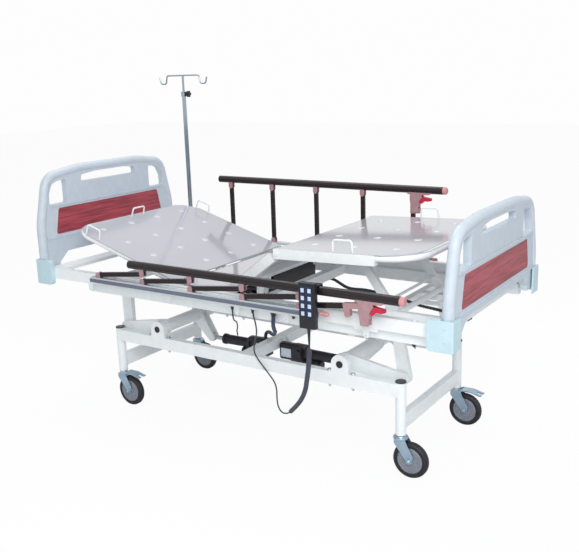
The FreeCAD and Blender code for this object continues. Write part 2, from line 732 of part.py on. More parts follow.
def leg_flat():
    w = platform_half_width
    inner = w - section_tube_width
    end_x = knee_x + leg_length
    r = 13.0
    z = platform_top - sheet_thickness - r + tube_bite
    start = knee_x - 12
    parts = both(section_tube(start, knee_x + 440, None))
    loop = bent_tube([(knee_x + 430, -w + r, z), (end_x, -w + r, z), (end_x, w - r, z),
                      (knee_x + 430, w - r, z)], 150, r)
    parts.append(loop)
    outline = [(knee_x + 4, -w), (end_x - 130, -w), (end_x - 70, -w + 25), (end_x - 30, -w + 75),
               (end_x - 12, -w + 140), (end_x - 12, w - 140), (end_x - 30, w - 75),
               (end_x - 70, w - 25), (end_x - 130, w), (knee_x + 4, w)]
    wire = Part.makePolygon([V(x, y, platform_top - sheet_thickness) for x, y in outline + outline[:1]])
    parts.append(Part.Face(wire).extrude(V(0, 0, sheet_thickness)))
    for x in (strut_pin_flat[0] - 14, end_x - 120):
        parts.append(block(x, x + 28, -inner - 1, inner + 1, hinge_z - 8, hinge_z + 20.5))
    px, pz = strut_pin_flat
    for y0, y1 in ((-242, -235), (-213, -206)):
        cheek = profile_xz([(px - 14, hinge_z), (px - 14, pz), (px - 8, pz - 12), (px + 8, pz - 12),
                            (px + 14, pz), (px + 14, hinge_z)], y0, y1)
        parts += both(cheek)
    parts += both(rod(6, (px, -244, pz), (px, -204, pz)))
    parts += both(retainer(knee_x + 300, -w + 14, True))
    for i in range(3):
        for j in range(4):
            parts.append(dimple(knee_x + 110 + 180 * i, -290 + 193 * j))
    body = fuse(parts)
    return body.cut(bore(knee_x, hinge_z, 6 + running_fit, -w - 2, w + 2))


def leg_rest(point):
    # Move a point of the flat leg section to where it stands in the drawn pose.
    kx, kz = place_z(seat_hinge_x, hinge_z, knee_angle, knee_x, hinge_z)
    x, z = place_z(knee_x, hinge_z, leg_tilt, point[0], point[1])
    return x + kx - knee_x, z + kz - hinge_z


def leg_section():
    shape = turned(leg_flat(), knee_x, hinge_z, leg_tilt)
    kx, kz = place_z(seat_hinge_x, hinge_z, knee_angle, knee_x, hinge_z)
    shape.translate(V(kx - knee_x, 0, kz - hinge_z))
    return shape


def leg_strut():
    top = leg_rest(strut_pin_flat)
    low = strut_foot
    bar = taper(top, 17, low, 17, -234.4, -213.6)
    cross = rod(12, (low[0], -250, low[1]), (low[0], 250, low[1]))
    mx, mz = top[0] * 0.24 + low[0] * 0.76, top[1] * 0.24 + low[1] * 0.76
    thin = rod(6, (mx, -216, mz), (mx, 216, mz))
    strut = fuse(both(bar) + [cross, thin])
    return strut.cut(bore(top[0], top[1], 6 + running_fit, -260, 260))


# Side rails

def post_lean(folded):
    return math.degrees(math.asin(folded_rise / post_length)) if folded else 90.0


def post_ends(index, folded):
    x = first_post_x + post_pitch * index
    a = math.radians(post_lean(folded))
    return (x, post_low_z), (x + post_length * math.cos(a), post_low_z + post_length * math.sin(a))


def post_catch(pin, y, lean):
    # Plastic sleeve near the upper pin of the last post, with a nose that enters the lock.
    x, z = pin
    w = catch_half_width
    sleeve = block(x - catch_far, x - catch_near, y - w, y + w, z - 11.5, z + 11.5)
    nose = profile_xz([(x - catch_far, z), (x - catch_far + 28, z), (x - catch_far + 26, z - 36),
                       (x - catch_far + 21, z - 42), (x - catch_far + 7, z - 42),
                       (x - catch_far + 2, z - 36)], y - w, y + w)
    return turned(fuse([sleeve, nose]), x, z, lean)


def rail_post(index, folded, side):
    low, top = post_ends(index, folded)
    y = rail_plane
    bar = taper(low, 10, top, 10, y - post_half_width, y + post_half_width)
    if index == post_count - 1:
        bar = fuse([bar, post_catch(top, y, post_lean(folded))])
    holes = [bore(p[0], p[1], 4 + running_fit, y - 12, y + 12) for p in (low, top)]
    post = cut(bar, holes)
    return post if side > 0 else mirrored(post)


def post_bracket(pin, up, y):
    # Moulded yoke around the end of a post, with its pin.
    base_z = pin[1] + up * (rail_tube_rise - 6 if up > 0 else 12.6)
    parts = []
    inner, outer = post_half_width + face_gap, post_half_width + 4.5
    for y0, y1 in ((y - outer, y - inner), (y + inner, y + outer)):
        parts.append(rod(12, (pin[0], y0, pin[1]), (pin[0], y1, pin[1])))
        parts.append(block(pin[0] - 12, pin[0] + 12, y0, y1, pin[1], base_z))
    parts.append(bore(pin[0], pin[1], 4, y - 11, y + 11))
    return parts


def lower_rail(side):
    # Aluminium channel on stand-offs, with a yoke for each post and a plug at the foot end.
    y = rail_plane
    last_post_x = first_post_x + (post_count - 1) * post_pitch
    x0, x1 = first_post_x - 42, last_post_x + 96
    z0, z1 = 690.0, post_low_z - 12
    lip = 6.0
    section = [(y - 22, z0), (y + 22, z0), (y + 22, z1 - 5), (y + 16, z1 - 5), (y + 16, z1),
               (y + 2, z1), (y + 2, z1 - 4), (y - 2, z1 - 4), (y - 2, z1), (y - 16, z1),
               (y - 16, z1 - 5), (y - 22, z1 - 5)]
    parts = [profile_yz(section, x0, x1)]
    for x in (first_post_x + 60, (first_post_x + last_post_x) / 2, last_post_x - 60):
        parts.append(block(x - 20, x + 20, frame_half_width + seat_gap, y - 21, z0 + 1, z1 - 6))
    for i in range(post_count):
        low, _ = post_ends(i, True)
        parts += post_bracket(low, -1, y)
    parts.append(rod(9.5, (x1 - 1, y, z0 + 11), (x1 + 22, y, z0 + 11)))
    parts.append(Part.makeSphere(9.5, V(x1 + 22, y, z0 + 11)))
    rail = fuse(parts)
    return rail if side > 0 else mirrored(rail)


def top_rail_frame(folded):
    _, first = post_ends(0, folded)
    return first[0] - rail_head_overhang, first[1] + rail_tube_rise


def lock_body(pin, y):
    # Housing of the rail lock: yoke for the last post, neck that takes the raised post, trigger bay.
    x, z = pin
    up = rail_tube_rise
    inner = catch_half_width + face_gap
    outer = inner + 3.4
    post = post_half_width + face_gap
    parts = [profile_xz([(x - 26, z + up - 8), (x - 26, z + 14), (x + 60, z + 12), (x + 84, z + 14),
                         (x + 100, z + up - 8)], y - outer, y + outer)]
    for s in (-1, 1):
        parts.append(profile_xz([(x - 13, z + 16), (x - 13, z - 12), (x - 4, z - 72), (x + 30, z - 72),
                                 (x + 34, z - 20), (x + 48, z + 2), (x + 48, z + 16)],
                                y + s * inner, y + s * outer))
        parts.append(bore(x, z, 11, y + s * post, y + s * (inner + 1)))
    parts.append(profile_xz([(x + 14, z - 20), (x + 14, z - 46), (x + 32, z - 46), (x + 34, z - 20)],
                            y - inner - 1, y + inner + 1))
    parts.append(bore(x, z, 4, y - outer + 0.5, y + outer - 0.5))
    parts.append(bore(x + 42, z, 2.5, y - outer + 0.5, y + outer - 0.5))
    return parts


def top_rail(folded, side):
    y = rail_plane
    x0, z = top_rail_frame(folded)
    x1 = x0 + rail_tube_length
    parts = [rod(rail_tube_radius, (x0, y, z), (x1, y, z)),
             rod(rail_tube_radius - 1, (x1 - 1, y, z), (x1 + 14, y, z)),
             Part.makeCone(rail_tube_radius - 1, rail_tube_radius - 6, 5, V(x1 + 14, y, z), V(1, 0, 0))]
    for i in range(post_count - 1):
        _, top = post_ends(i, folded)
        parts += post_bracket(top, 1, y)
    _, last = post_ends(post_count - 1, folded)
    parts += lock_body(last, y)
    rail = fuse(parts)
    return rail if side > 0 else mirrored(rail)


def rail_trigger(folded, side):
    _, pin = post_ends(post_count - 1, folded)
    x, z = pin[0] + 42, pin[1]
    y = rail_plane
    lever = profile_xz([(x - 6, z + 5), (x + 4, z + 6), (x + 16, z + 2), (x + 50, z - 3),
                        (x + 50, z - 15), (x + 34, z - 18), (x + 18, z - 16), (x + 2, z - 30),
                        (x - 5, z - 26)], y - catch_half_width, y + catch_half_width)
    trigger = lever.cut(bore(x, z, 2.5 + running_fit, y - 12, y + 12))
    return trigger if side > 0 else mirrored(trigger)


# Control box, handset and infusion pole

box_clear = 52.0          # from the middle of the back actuator to the control box


def control_box():
    # Flat upright box hung from the foot-side cross tube of the seat.
    face, back = -27.0, -63.0
    y1 = frame_half_width - side_tube_width - low_tube_width - 30
    y0 = back_motor_y + box_clear
    top, bottom = 668.0, 572.0
    body = block(back, face, y0, y1, bottom, top)
    body = body.makeFillet(5, [e for e in body.Edges if abs(e.tangentAt(0).y) < 0.1])
    hang = platform_top - 35 - seat_gap
    ears = [block(-46, -32, y, y + 22, top - 8, hang) for y in (y0 + 40, y1 - 62)]
    notch = block(back - 1, face + 1, y1 - 24, y1 + 1, top - 20, top + 1)
    return cut(fuse([body] + ears), [notch])


handset_x = 500.0
handset_top = 826.0
relief_root = 7.0
relief_tip = 3.0
relief_end = 572.0        # lower end of the rubber strain relief


def handset_parts():
    # The hand control hangs by its hook on the near top tube.
    x0, x1 = handset_x - 36, handset_x + 36
    z0, z1 = handset_top - 176, handset_top
    y1 = -rail_plane - rail_tube_radius - 5
    y0 = y1 - 26
    body = block(x0, x1, y0, y1, z0, z1)
    edges = [e for e in body.Edges if abs(e.tangentAt(0).z) > 0.9 or abs(e.CenterOfMass.y - y0) < 0.1]
    body = body.makeFillet(6, [e for e in edges if abs(e.tangentAt(0).z) > 0.9])
    _, tube_z = top_rail_frame(True)
    top = tube_z + rail_tube_radius + seat_gap
    far = -rail_plane + rail_tube_radius + seat_gap
    hook = fuse([block(handset_x + 2, handset_x + 30, y1 - 2, far + 4, top, top + 4),
                 block(handset_x + 2, handset_x + 30, far, far + 4, tube_z - 4, top + 4),
                 block(handset_x + 2, handset_x + 30, y1 - 1, y1 + 4.7, tube_z - 14, top + 4)])
    relief = Part.makeCone(relief_root, relief_tip, z0 + 2 - relief_end, V(handset_x, (y0 + y1) / 2, z0 + 2),
                           V(0, 0, -1))
    return fuse([body, hook, relief]), (x0, x1, y0, z0, z1)


def handset():
    return handset_parts()[0]


def keypad():
    _, (x0, x1, y0, z0, z1) = handset_parts()
    y = y0 - seat_gap
    parts = [block(x0 + 9, x1 - 9, y - 1, y, z0 + 52, z1 - 10)]
    for row in range(4):
        for col in (-1, 1):
            cx, cz = handset_x + col * 15, z1 - 27 - row * 30
            parts.append(block(cx - 7, cx + 7, y - 3, y - 1, cz - 8, cz + 8))
    return fuse(parts)


def iv_pole():
    z0 = side_tube_bottom - 20
    top = side_tube_bottom + side_tube_height
    x, y = pole_x, pole_y
    tube = rod(pole_radius, (x, y, z0), (x, y, pole_top))
    stop = rod(16, (x, y, top + seat_gap), (x, y, top + 10))
    collar = rod(15, (x, y, pole_top - 22), (x, y, pole_top + 4))
    pole = fuse([tube, stop, collar])
    screw = rod(4 + running_fit, (x, y, pole_top - 9), (x + 30, y, pole_top - 9))
    return cut(pole, [rod(6 + running_fit, (x, y, z0 + 30), (x, y, pole_top + 5)), screw])


def iv_rod():
    x, y, z = pole_x, pole_y, hook_bar_z
    stem = rod(6, (x, y, pole_top - 560), (x, y, z))
    r, d = 4.0, 18.0
    parts = [stem]
    for s in (1, -1):
        pts = [(x, y, z - 2), (x + s * 112, y, z - 2), (x + s * 120, y, z - 46),
               (x + s * 156, y, z - 46), (x + s * 164, y, z - 12)]
        parts.append(bent_tube(pts, 14, r))
    return fuse(parts)


def iv_knob():
    x, y, z = pole_x + 15 + face_gap, pole_y, pole_top - 9
    screw = rod(4, (pole_x + 6.5, y, z), (x + 4, y, z))
    neck = rod(8, (x, y, z), (x + 8, y, z))
    star = [rod(8, (x + 8, y, z), (x + 24, y, z))]
    for i in range(5):
        a = 2 * math.pi * i / 5
        star.append(rod(6, (x + 8, y + 11 * math.cos(a), z + 11 * math.sin(a)),
                        (x + 24, y + 11 * math.cos(a), z + 11 * math.sin(a))))
    return fuse([screw, neck] + star)


# Cords: straight runs joined by arcs as large as the runs allow

def cord_radii(points):
    pts = [V(*p) for p in points]
    radii = []
    for a, b, c in zip(pts, pts[1:], pts[2:]):
        half = (b - a).getAngle(c - b) / 2
        radii.append(0.45 * min((b - a).Length, (c - b).Length) / math.tan(half))
    return radii


def cord_tube(name, points, radius):
    radii = cord_radii(points)
    tube = bent_tube(points, radii, radius)
    length = bent_path(points, radii).Length
    share = tube.Volume / (math.pi * radius ** 2 * length)
    print(name, "length", round(length), "radii", [round(r) for r in radii], "volume share", round(share, 3))
    return tube


def handset_coil():
    # Curly part of the hand control's cord, as one tube of its outer diameter.
    route = [(500, -541, relief_end - seat_gap), (494, -538, 500), (473, -522, 430), (444, -490, 370),
             (399, -450, 309), (345, -410, 252), (290, -373, 202)]
    return cord_tube("handset_coil", route, curly_radius)


def handset_tail():
    # Plain part, from the end of the curly part up to the side tube.
    route = [(289.8, -372.9, 201.8), (262, -354, 180), (226, -345, 174), (201, -335, 194), (192, -328, 228),
             (191, -324, 262), (181, -322, 295), (153, -321, 325), (121, -321, 358), (92, -321, 389),
             (80, -331, 424), (106, -352, 481), (142, -386, 528), (166, -420, 568), (174, -438, 602),
             (172, -446, 630), (171, -447, side_tube_bottom - seat_gap)]
    return cord_tube("handset_tail", route, thin_radius)


def lift_lead():
    # Curly lead of the head lift actuator, from the side tube to the gear housing.
    route = [(275, -449, side_tube_bottom - seat_gap), (274, -449, 628), (266, -442, 597), (244, -402, 564),
             (196, -330, 530), (138, -244, 494), (72, -160, 448), (14, -92, 420), (-34, -46, 411),
             (-68, -18, 398), (-84, -10, 378), (-84, -10, 353.3)]
    return cord_tube("lift_lead", route, lead_radius)


def thin_lead():
    # Plain lead from the side tube to the tube of the head lift actuator.
    route = [(67, -447, side_tube_bottom - seat_gap), (66, -445, 630), (60, -437, 602), (34, -396, 572),
             (-10, -328, 546), (-60, -256, 510), (-112, -186, 468), (-166, -120, 424), (-216, -60, 390),
             (-250, -14, 372), (-258, 0, 362), (-258, 0, 346)]
    return cord_tube("thin_lead", route, thin_radius)


def mains_lead():
    # Mains lead of the control box, curly after a short plain part, clipped under the foot cross tube.
    route = [(-26.7, 345, 586), (10, 345, 586), (46, 344, 590), (86, 340.7, 594.2), (150, 300, 588),
             (216, 244, 588), (298, 170, 606),
             (390, 100, 632), (486, 44, 644), (568, 22, 638), (626, 25, 633), (678, 42, 613),
             (756, 50, 604), (836, 38, 598), (890, 12, 588), (925, 0, 593), (925, 0, 613.7)]
    return cord_tube("mains_lead", route, mains_radius)


# All nodes

lift_base = (lift_base_x, lift_base_z)
lift_pin = (lever_pin_x, lever_pin_z)
back_pin = (hip_x + 60 * math.cos(math.radians(-110)), hinge_z + 60 * math.sin(math.radians(-110)))
knee_pin = (seat_hinge_x + 70 * math.cos(math.radians(-60)), hinge_z + 70 * math.sin(math.radians(-60)))


def across(shape):
    return shape.mirror(V(0, 0, 0), V(1, 0, 0))


def lift_actuator():
    body = actuator_housing(lift_base, 0, 292, -1)
    return aimed(body, lift_base, lift_pin)


def lift_rod():
    return aimed(actuator_rod(lift_base, lift_pin, 0, 13.4, 2), lift_base, lift_pin)


def build_nodes():
    hx, hy = leg_spacing_x / 2, leg_spacing_y / 2
    nodes = {"base_frame": base_frame()}
    for name, x, y in (("hn", -hx, -hy), ("hf", -hx, hy), ("fn", hx, -hy), ("ff", hx, hy)):
        braked = name in ("hn", "ff")
        nodes["castor_fork_" + name] = braked_fork(x, y) if braked else castor_fork(x, y)
        nodes["castor_wheel_" + name] = castor_wheel(x, y)
        if braked:
            nodes["castor_pedal_" + name] = castor_pedal(x, y)
    nodes["head_lift_shaft"] = lift_shaft(-1)
    nodes["foot_lift_shaft"] = lift_shaft(1)
    nodes["foot_links"] = Part.makeCompound(both(foot_link()))
    nodes["head_actuator"] = across(lift_actuator())
    nodes["head_actuator_rod"] = across(lift_rod())
    nodes["foot_actuator"] = lift_actuator()
    nodes["foot_actuator_rod"] = lift_rod()
    nodes["upper_frame"] = upper_frame()
    nodes["strut_tracks"] = strut_tracks()
    nodes["headboard"] = board(head_board_face - board_thickness, board_thickness, board_rise, board_foot_z)
    nodes["footboard"] = board(foot_board_face, board_thickness, 0, board_foot_z)
    nodes["wood_panels"] = Part.makeCompound([board_insert(head_board_face - board_thickness, board_rise),
                                              board_insert(foot_board_face, 0)])
    nodes["corner_brackets"] = corner_brackets()
    nodes["back_section"] = back_section()
    nodes["seat_section"] = seat_section()
    nodes["thigh_section"] = thigh_section()
    nodes["leg_section"] = leg_section()
    nodes["leg_strut"] = leg_strut()
    nodes["back_actuator"] = aimed(actuator_housing(back_base, back_motor_y, 262, 1),
                                   back_base, back_pin)
    nodes["back_actuator_rod"] = aimed(actuator_rod(back_base, back_pin, back_motor_y, 13.4, 16),
                                       back_base, back_pin)
    nodes["knee_actuator"] = aimed(actuator_housing(knee_base, knee_motor_y, 262, -1),
                                   knee_base, knee_pin)
    nodes["knee_actuator_rod"] = aimed(actuator_rod(knee_base, knee_pin, knee_motor_y, 9.5, 45),
                                       knee_base, knee_pin)
    nodes["control_box"] = control_box()
    for label, folded, side in (("near", True, -1), ("far", False, 1)):
        nodes[label + "_lower_rail"] = lower_rail(side)
        for i in range(post_count):
            nodes["%s_post_%d" % (label, i + 1)] = rail_post(i, folded, side)
        nodes[label + "_top_rail"] = top_rail(folded, side)
        nodes[label + "_trigger"] = rail_trigger(folded, side)
    nodes["handset"] = handset()
    nodes["keypad"] = keypad()
    nodes["handset_coil"] = handset_coil()
    nodes["handset_tail"] = handset_tail()
    nodes["lift_lead"] = lift_lead()
    nodes["thin_lead"] = thin_lead()
    nodes["mains_lead"] = mains_lead()
    nodes["iv_pole"] = iv_pole()
    nodes["iv_rod"] = iv_rod()
    nodes["iv_knob"] = iv_knob()
    return nodes


def main():
    os.makedirs("parts", exist_ok=True)
    for name, shape in build_nodes().items():
        shape.translate(V(origin_x, origin_y, 0))
        shape.exportStep("parts/%s.step" % name)
        box = shape.BoundBox
        print(name, shape.isValid(), len(shape.Solids), round(box.XMin), round(box.XMax),
              round(box.YMin), round(box.YMax), round(box.ZMin), round(box.ZMax))


main()
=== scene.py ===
"""Looks of an electric hospital bed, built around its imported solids.

The bed stands as in use: back and knees raised, near side rail folded down, far side rail up.
Lengths are metres in the frame of the solids unless a name ends in _mm.
"""

from __future__ import annotations

import logging
import math
from collections.abc import Callable, Sequence
from dataclasses import dataclass
from enum import Enum

import bmesh
import bpy
from mathutils import Matrix, Vector


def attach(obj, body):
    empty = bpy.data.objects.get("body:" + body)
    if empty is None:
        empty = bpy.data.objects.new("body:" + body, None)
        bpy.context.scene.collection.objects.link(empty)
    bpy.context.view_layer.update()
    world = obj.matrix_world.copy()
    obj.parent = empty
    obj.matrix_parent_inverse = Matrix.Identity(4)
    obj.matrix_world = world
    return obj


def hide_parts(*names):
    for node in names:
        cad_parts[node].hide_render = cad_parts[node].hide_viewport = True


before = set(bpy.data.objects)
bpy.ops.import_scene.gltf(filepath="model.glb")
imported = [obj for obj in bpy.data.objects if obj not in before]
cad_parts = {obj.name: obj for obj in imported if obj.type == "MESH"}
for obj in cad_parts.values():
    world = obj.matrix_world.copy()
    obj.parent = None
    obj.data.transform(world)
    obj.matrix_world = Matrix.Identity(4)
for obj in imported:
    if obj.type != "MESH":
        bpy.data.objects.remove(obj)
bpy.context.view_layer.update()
LOG = logging.getLogger("bed")

# Points in millimetres are written in the bed's own frame, whose origin lies on the floor under the
# middle of the four legs. This is where that origin lies in the frame of the solids.
SHIFT = Vector((0.021, 0.014, 0.0))

Point = tuple[float, float, float]
Span = tuple[float, float]
Colour = tuple[float, float, float, float]
Test = Callable[[Vector, Vector], bool]
Piece = bpy.types.Object
Tree = bpy.types.NodeTree
Node = bpy.types.Node
Socket = bpy.types.NodeSocket


def at(x_mm: float, y_mm: float, z_mm: float) -> Vector:
    """Place of a point of the bed, given in millimetres, in the frame of the solids."""
    return Vector((x_mm, y_mm, z_mm)) / 1000.0 + SHIFT


def same(one: float, other: float) -> bool:
    """Whether two places agree to a tenth of a millimetre."""
    return abs(one - other) < 1e-4


def linear(code: str) -> Colour:
    """Linear colour of an sRGB hex code.

    Args:
        code: Six hex digits after a hash sign.

    Returns:
        Linear red, green and blue, and an alpha of one.
    """
    parts = [int(code[i : i + 2], 16) / 255.0 for i in (1, 3, 5)]
    parts = [c / 12.92 if c <= 0.04045 else ((c + 0.055) / 1.055) ** 2.4 for c in parts]
    return parts[0], parts[1], parts[2], 1.0


class End(Enum):
    """End of the bed. Its value is the sign of X there."""

    HEAD = -1.0
    FOOT = 1.0


class Side(Enum):
    """Side of the bed as the camera sees it. Its value is the sign of Y there."""

    NEAR = -1.0
    FAR = 1.0


# Materials

COAT_ROUGHNESS = 0.08
BUMP_STRENGTH = 0.6
# A patch of colour or gloss is this many grains wide
PATCH_GRAINS = 22.0
# Where the noise, which gathers around a half, reaches the second and the first colour
COLOUR_STOPS = (0.36, 0.66)
GLOSS_STOPS = (0.3, 0.7)


class Pattern(Enum):
    """How a surface was made. Drawn and printed ones have their grain stretched one way."""

    POWDER = "powder coat"
    GRAIN = "moulded grain"
    GLOSS = "wet enamel"
    BRUSHED_X = "drawn along the bed"
    TURNED = "turned metal"
    WOOD = "printed wood grain"
    RUBBER = "moulded rubber"


@dataclass(frozen=True)
class Finish:
    """One finish: its colours, its gloss and its small relief."""

    name: str
    colour: str
    second: str
    pattern: Pattern
    roughness: float
    spread: float = 0.06
    metallic: float = 0.0
    grain_mm: float = 2.0
    relief_mm: float = 0.05
    ior: float = 1.5
    coat: float = 0.0
    edge_mm: float = 0.8

    def stretch(self) -> Point:
        """How the pattern is squeezed along X, Y and Z, which draws it out."""
        along = {Pattern.BRUSHED_X: (0.02, 1.0, 1.0), Pattern.WOOD: (1.0, 0.05, 1.0)}
        return along.get(self.pattern, (1.0, 1.0, 1.0))

    def build(self) -> bpy.types.Material:
        """Makes the material, or gives the one made before.

        Returns:
            The material.
        """
        old = bpy.data.materials.get(self.name)
        if old is not None:
            return old
        made = bpy.data.materials.new(self.name)
        made.use_nodes = True
        made.diffuse_color = linear(self.colour)
        tree = made.node_tree
        shader = tree.nodes["Principled BSDF"]
        shader.inputs["Metallic"].default_value = self.metallic
        if not self.metallic:
            shader.inputs["IOR"].default_value = self.ior
        if self.coat:
            shader.inputs["Coat Weight"].default_value = self.coat
            shader.inputs["Coat Roughness"].default_value = COAT_ROUGHNESS
        place = add_node(tree, "ShaderNodeTexCoord")
        mapping = add_node(tree, "ShaderNodeMapping", links={"Vector": place.outputs["Object"]})
        mapping.inputs["Scale"].default_value = self.stretch()
        fine = noise(tree, mapping, self.grain_mm, detail=3.0, roughness=0.6)
        broad = noise(tree, mapping, self.grain_mm * PATCH_GRAINS, detail=4.0, roughness=0.55)
        self.wire(tree, shader, fine, broad)
        return made

    def wire(self, tree: Tree, shader: Node, fine: Node, broad: Node) -> None:
        """Mixes the colours, lets the gloss wander and gives relief and a soft break at the edges.

        Args:
            tree: The material's node tree.
            shader: Its surface shader.
            fine: Noise of the size of the grain.
            broad: Noise of the size of the patches.
        """
        source = fine if self.pattern is Pattern.WOOD else broad
        ramp = add_node(tree, "ShaderNodeValToRGB", links={"Fac": source.outputs["Fac"]})
        for stop, place, code in zip(ramp.color_ramp.elements, COLOUR_STOPS, (self.second, self.colour)):
            stop.position = place
            stop.color = linear(code)
        limits = {
            "From Min": GLOSS_STOPS[0],
            "From Max": GLOSS_STOPS[1],
            "To Min": max(0.02, self.roughness - self.spread),
            "To Max": min(1.0, self.roughness + self.spread),
        }
        rough = add_node(tree, "ShaderNodeMapRange", limits, {"Value": broad.outputs["Fac"]})
        relief = {"Strength": BUMP_STRENGTH, "Distance": self.relief_mm / 1000.0}
        bump = add_node(tree, "ShaderNodeBump", relief, {"Height": fine.outputs["Fac"]})
        edge = add_node(tree, "ShaderNodeBevel", {"Radius": self.edge_mm / 1000.0})
        edge.samples = 4
        tree.links.new(edge.outputs["Normal"], bump.inputs["Normal"])
        for node, output, name in (
            (ramp, "Color", "Base Color"), (rough, "Result", "Roughness"), (bump, "Normal", "Normal"),
        ):
            tree.links.new(node.outputs[output], shader.inputs[name])


def add_node(
    tree: Tree,
    kind: str,
    values: dict[str, float | Colour] | None = None,
    links: dict[str | int, Socket] | None = None,
) -> Node:
    """Adds a node with its settings and links.

    Args:
        tree: The material's node tree.
        kind: The node's type.
        values: Values of its inputs, by name.
        links: What is joined to its inputs, by name or number.

    Returns:
        The new node.
    """
    node = tree.nodes.new(kind)
    for name, value in (values or {}).items():
        node.inputs[name].default_value = value
    for name, socket in (links or {}).items():
        tree.links.new(socket, node.inputs[name])
    return node


def noise(tree: Tree, mapping: Node, size_mm: float, detail: float, roughness: float) -> Node:
    """Adds a noise of patches so wide, with so many finer layers of some strength."""
    values = {"Scale": 1000.0 / size_mm, "Detail": detail, "Roughness": roughness}
    return add_node(tree, "ShaderNodeTexNoise", values, {"Vector": mapping.outputs["Vector"]})


# Polyester powder coat on steel: soft gloss with a fine orange peel
WHITE_COAT = Finish(
    "white_powder_coat", "#F0F4F5", "#EAEFF1", Pattern.POWDER, 0.36, grain_mm=1.6, relief_mm=0.04
)
# Baked enamel on sheet steel: wet gloss that mirrors the rails, with a slow wave in the sheet
GREY_ENAMEL = Finish(
    "grey_stoving_enamel", "#B9B9C1", "#B4B4BD", Pattern.GLOSS, 0.13, 0.04, grain_mm=30.0, relief_mm=0.25,
    coat=0.35
)
# The same enamel on the raised dimples, painted paler: a painted highlight where their domes catch the
# light
DIMPLE_PAINTED_HIGHLIGHT = Finish(
    "grey_enamel_painted_highlight", "#CDCDD4", "#C6C6CE", Pattern.GLOSS, 0.2, 0.04, grain_mm=8.0, relief_mm=0.05,
    coat=0.35
)
# Blow-moulded polyethylene of the boards: satin, with a faint leathery grain
BOARD_PLASTIC = Finish(
    "board_polyethylene", "#CAD4DE", "#C3CED9", Pattern.GRAIN, 0.38, grain_mm=1.4, relief_mm=0.05
)
# Injection-moulded polypropylene of the corners: a little bluer and smoother
CORNER_PLASTIC = Finish(
    "corner_polypropylene", "#C4DDE5", "#BDD7E0", Pattern.GRAIN, 0.34, grain_mm=1.2, relief_mm=0.04
)
# Printed laminate: red-brown wood figure under a clear coat
WOOD_PRINT = Finish(
    "wood_print_laminate", "#B84C58", "#872F3B", Pattern.WOOD, 0.38, 0.05, grain_mm=9.0, relief_mm=0.02
)
# Bright anodised aluminium: fine drawing lines along the section
BRIGHT_ALUMINIUM = Finish(
    "bright_anodised_aluminium", "#DDE3E6", "#CED6DA", Pattern.BRUSHED_X, 0.28, metallic=0.85,
    grain_mm=0.7, relief_mm=0.02
)
# Dark brown anodised aluminium: nearly black, with a warm sheen
DARK_ANODISED = Finish(
    "dark_anodised_aluminium", "#2D2427", "#241D20", Pattern.BRUSHED_X, 0.26, metallic=0.4,
    grain_mm=0.8, relief_mm=0.02
)
# Painted reflection: dull dark slate on the outer face of the lower rail's bright aluminium section
SLATE_PAINTED_REFLECTION = Finish(
    "slate_rail_painted_reflection", "#6C7284", "#616778", Pattern.BRUSHED_X, 0.38, grain_mm=0.9, relief_mm=0.02
)
# Moulded nylon of the yokes and locks, mauve brown
MAUVE_NYLON = Finish("mauve_nylon", "#AE8A8E", "#A58085", Pattern.GRAIN, 0.42, grain_mm=1.2, relief_mm=0.04)
# Soft polyethylene of the end plugs
PINK_PLUG = Finish(
    "pink_polyethylene", "#D29497", "#C98A8F", Pattern.GRAIN, 0.45, grain_mm=1.2, relief_mm=0.04
)
# Signal red nylon of the release triggers
RED_NYLON = Finish("red_nylon", "#CB1740", "#BE1239", Pattern.GRAIN, 0.35, grain_mm=1.2, relief_mm=0.03)
# Zinc plate, blue passivated, on pressed steel
BLUE_ZINC = Finish(
    "blue_zinc_plate", "#A9BECD", "#8FA6B8", Pattern.TURNED, 0.34, metallic=0.8, grain_mm=3.0,
    relief_mm=0.03
)
# Ground steel of the actuator rods and bolts
BRIGHT_STEEL = Finish(
    "ground_steel", "#C9CBCE", "#BBBDC1", Pattern.TURNED, 0.22, metallic=1.0, grain_mm=1.0,
    relief_mm=0.01
)
# Chrome plate on the steel tube of the pole
CHROME = Finish(
    "chrome_plate", "#A9B3BE", "#9CA7B3", Pattern.TURNED, 0.1, 0.03, metallic=1.0, grain_mm=8.0,
    relief_mm=0.005
)
# Plain aluminium foil plate, bare of words
BARE_PLATE = Finish(
    "bare_foil_plate", "#C3CEDA", "#B7C3D0", Pattern.GRAIN, 0.3, metallic=0.4, grain_mm=1.0,
    relief_mm=0.01
)
# Glass-filled polyamide of the actuator housings: dull, with a spark-eroded grain
BLACK_HOUSING = Finish(
    "black_polyamide", "#19161F", "#141119", Pattern.GRAIN, 0.46, grain_mm=1.0, relief_mm=0.05
)
# Black polyethylene of caps, plugs, stops and grommets
BLACK_TRIM = Finish(
    "black_polyethylene", "#1D1C20", "#17161A", Pattern.GRAIN, 0.4, grain_mm=1.0, relief_mm=0.04
)
# Cast polyurethane tyre, dulled by the floor
TYRE = Finish(
    "black_polyurethane_tyre", "#1A1A20", "#141419", Pattern.RUBBER, 0.55, grain_mm=1.2, relief_mm=0.06
)
# Polypropylene of the wheel hubs
HUB_GREY = Finish(
    "grey_polypropylene_hub", "#8A8E99", "#7F848F", Pattern.GRAIN, 0.4, grain_mm=1.2, relief_mm=0.04
)
# ABS of the hand control's case
HANDSET_NAVY = Finish("navy_abs", "#15161F", "#11121A", Pattern.GRAIN, 0.38, grain_mm=0.9, relief_mm=0.03)
# Polyester membrane of its keypad, and the pale fields of the keys
KEYPAD_NAVY = Finish(
    "navy_membrane", "#1B2547", "#172040", Pattern.GRAIN, 0.3, grain_mm=0.9, relief_mm=0.02
)
KEY_PALE = Finish("pale_blue_key", "#C9D8F0", "#BFD0EA", Pattern.GRAIN, 0.35, grain_mm=0.9, relief_mm=0.02)
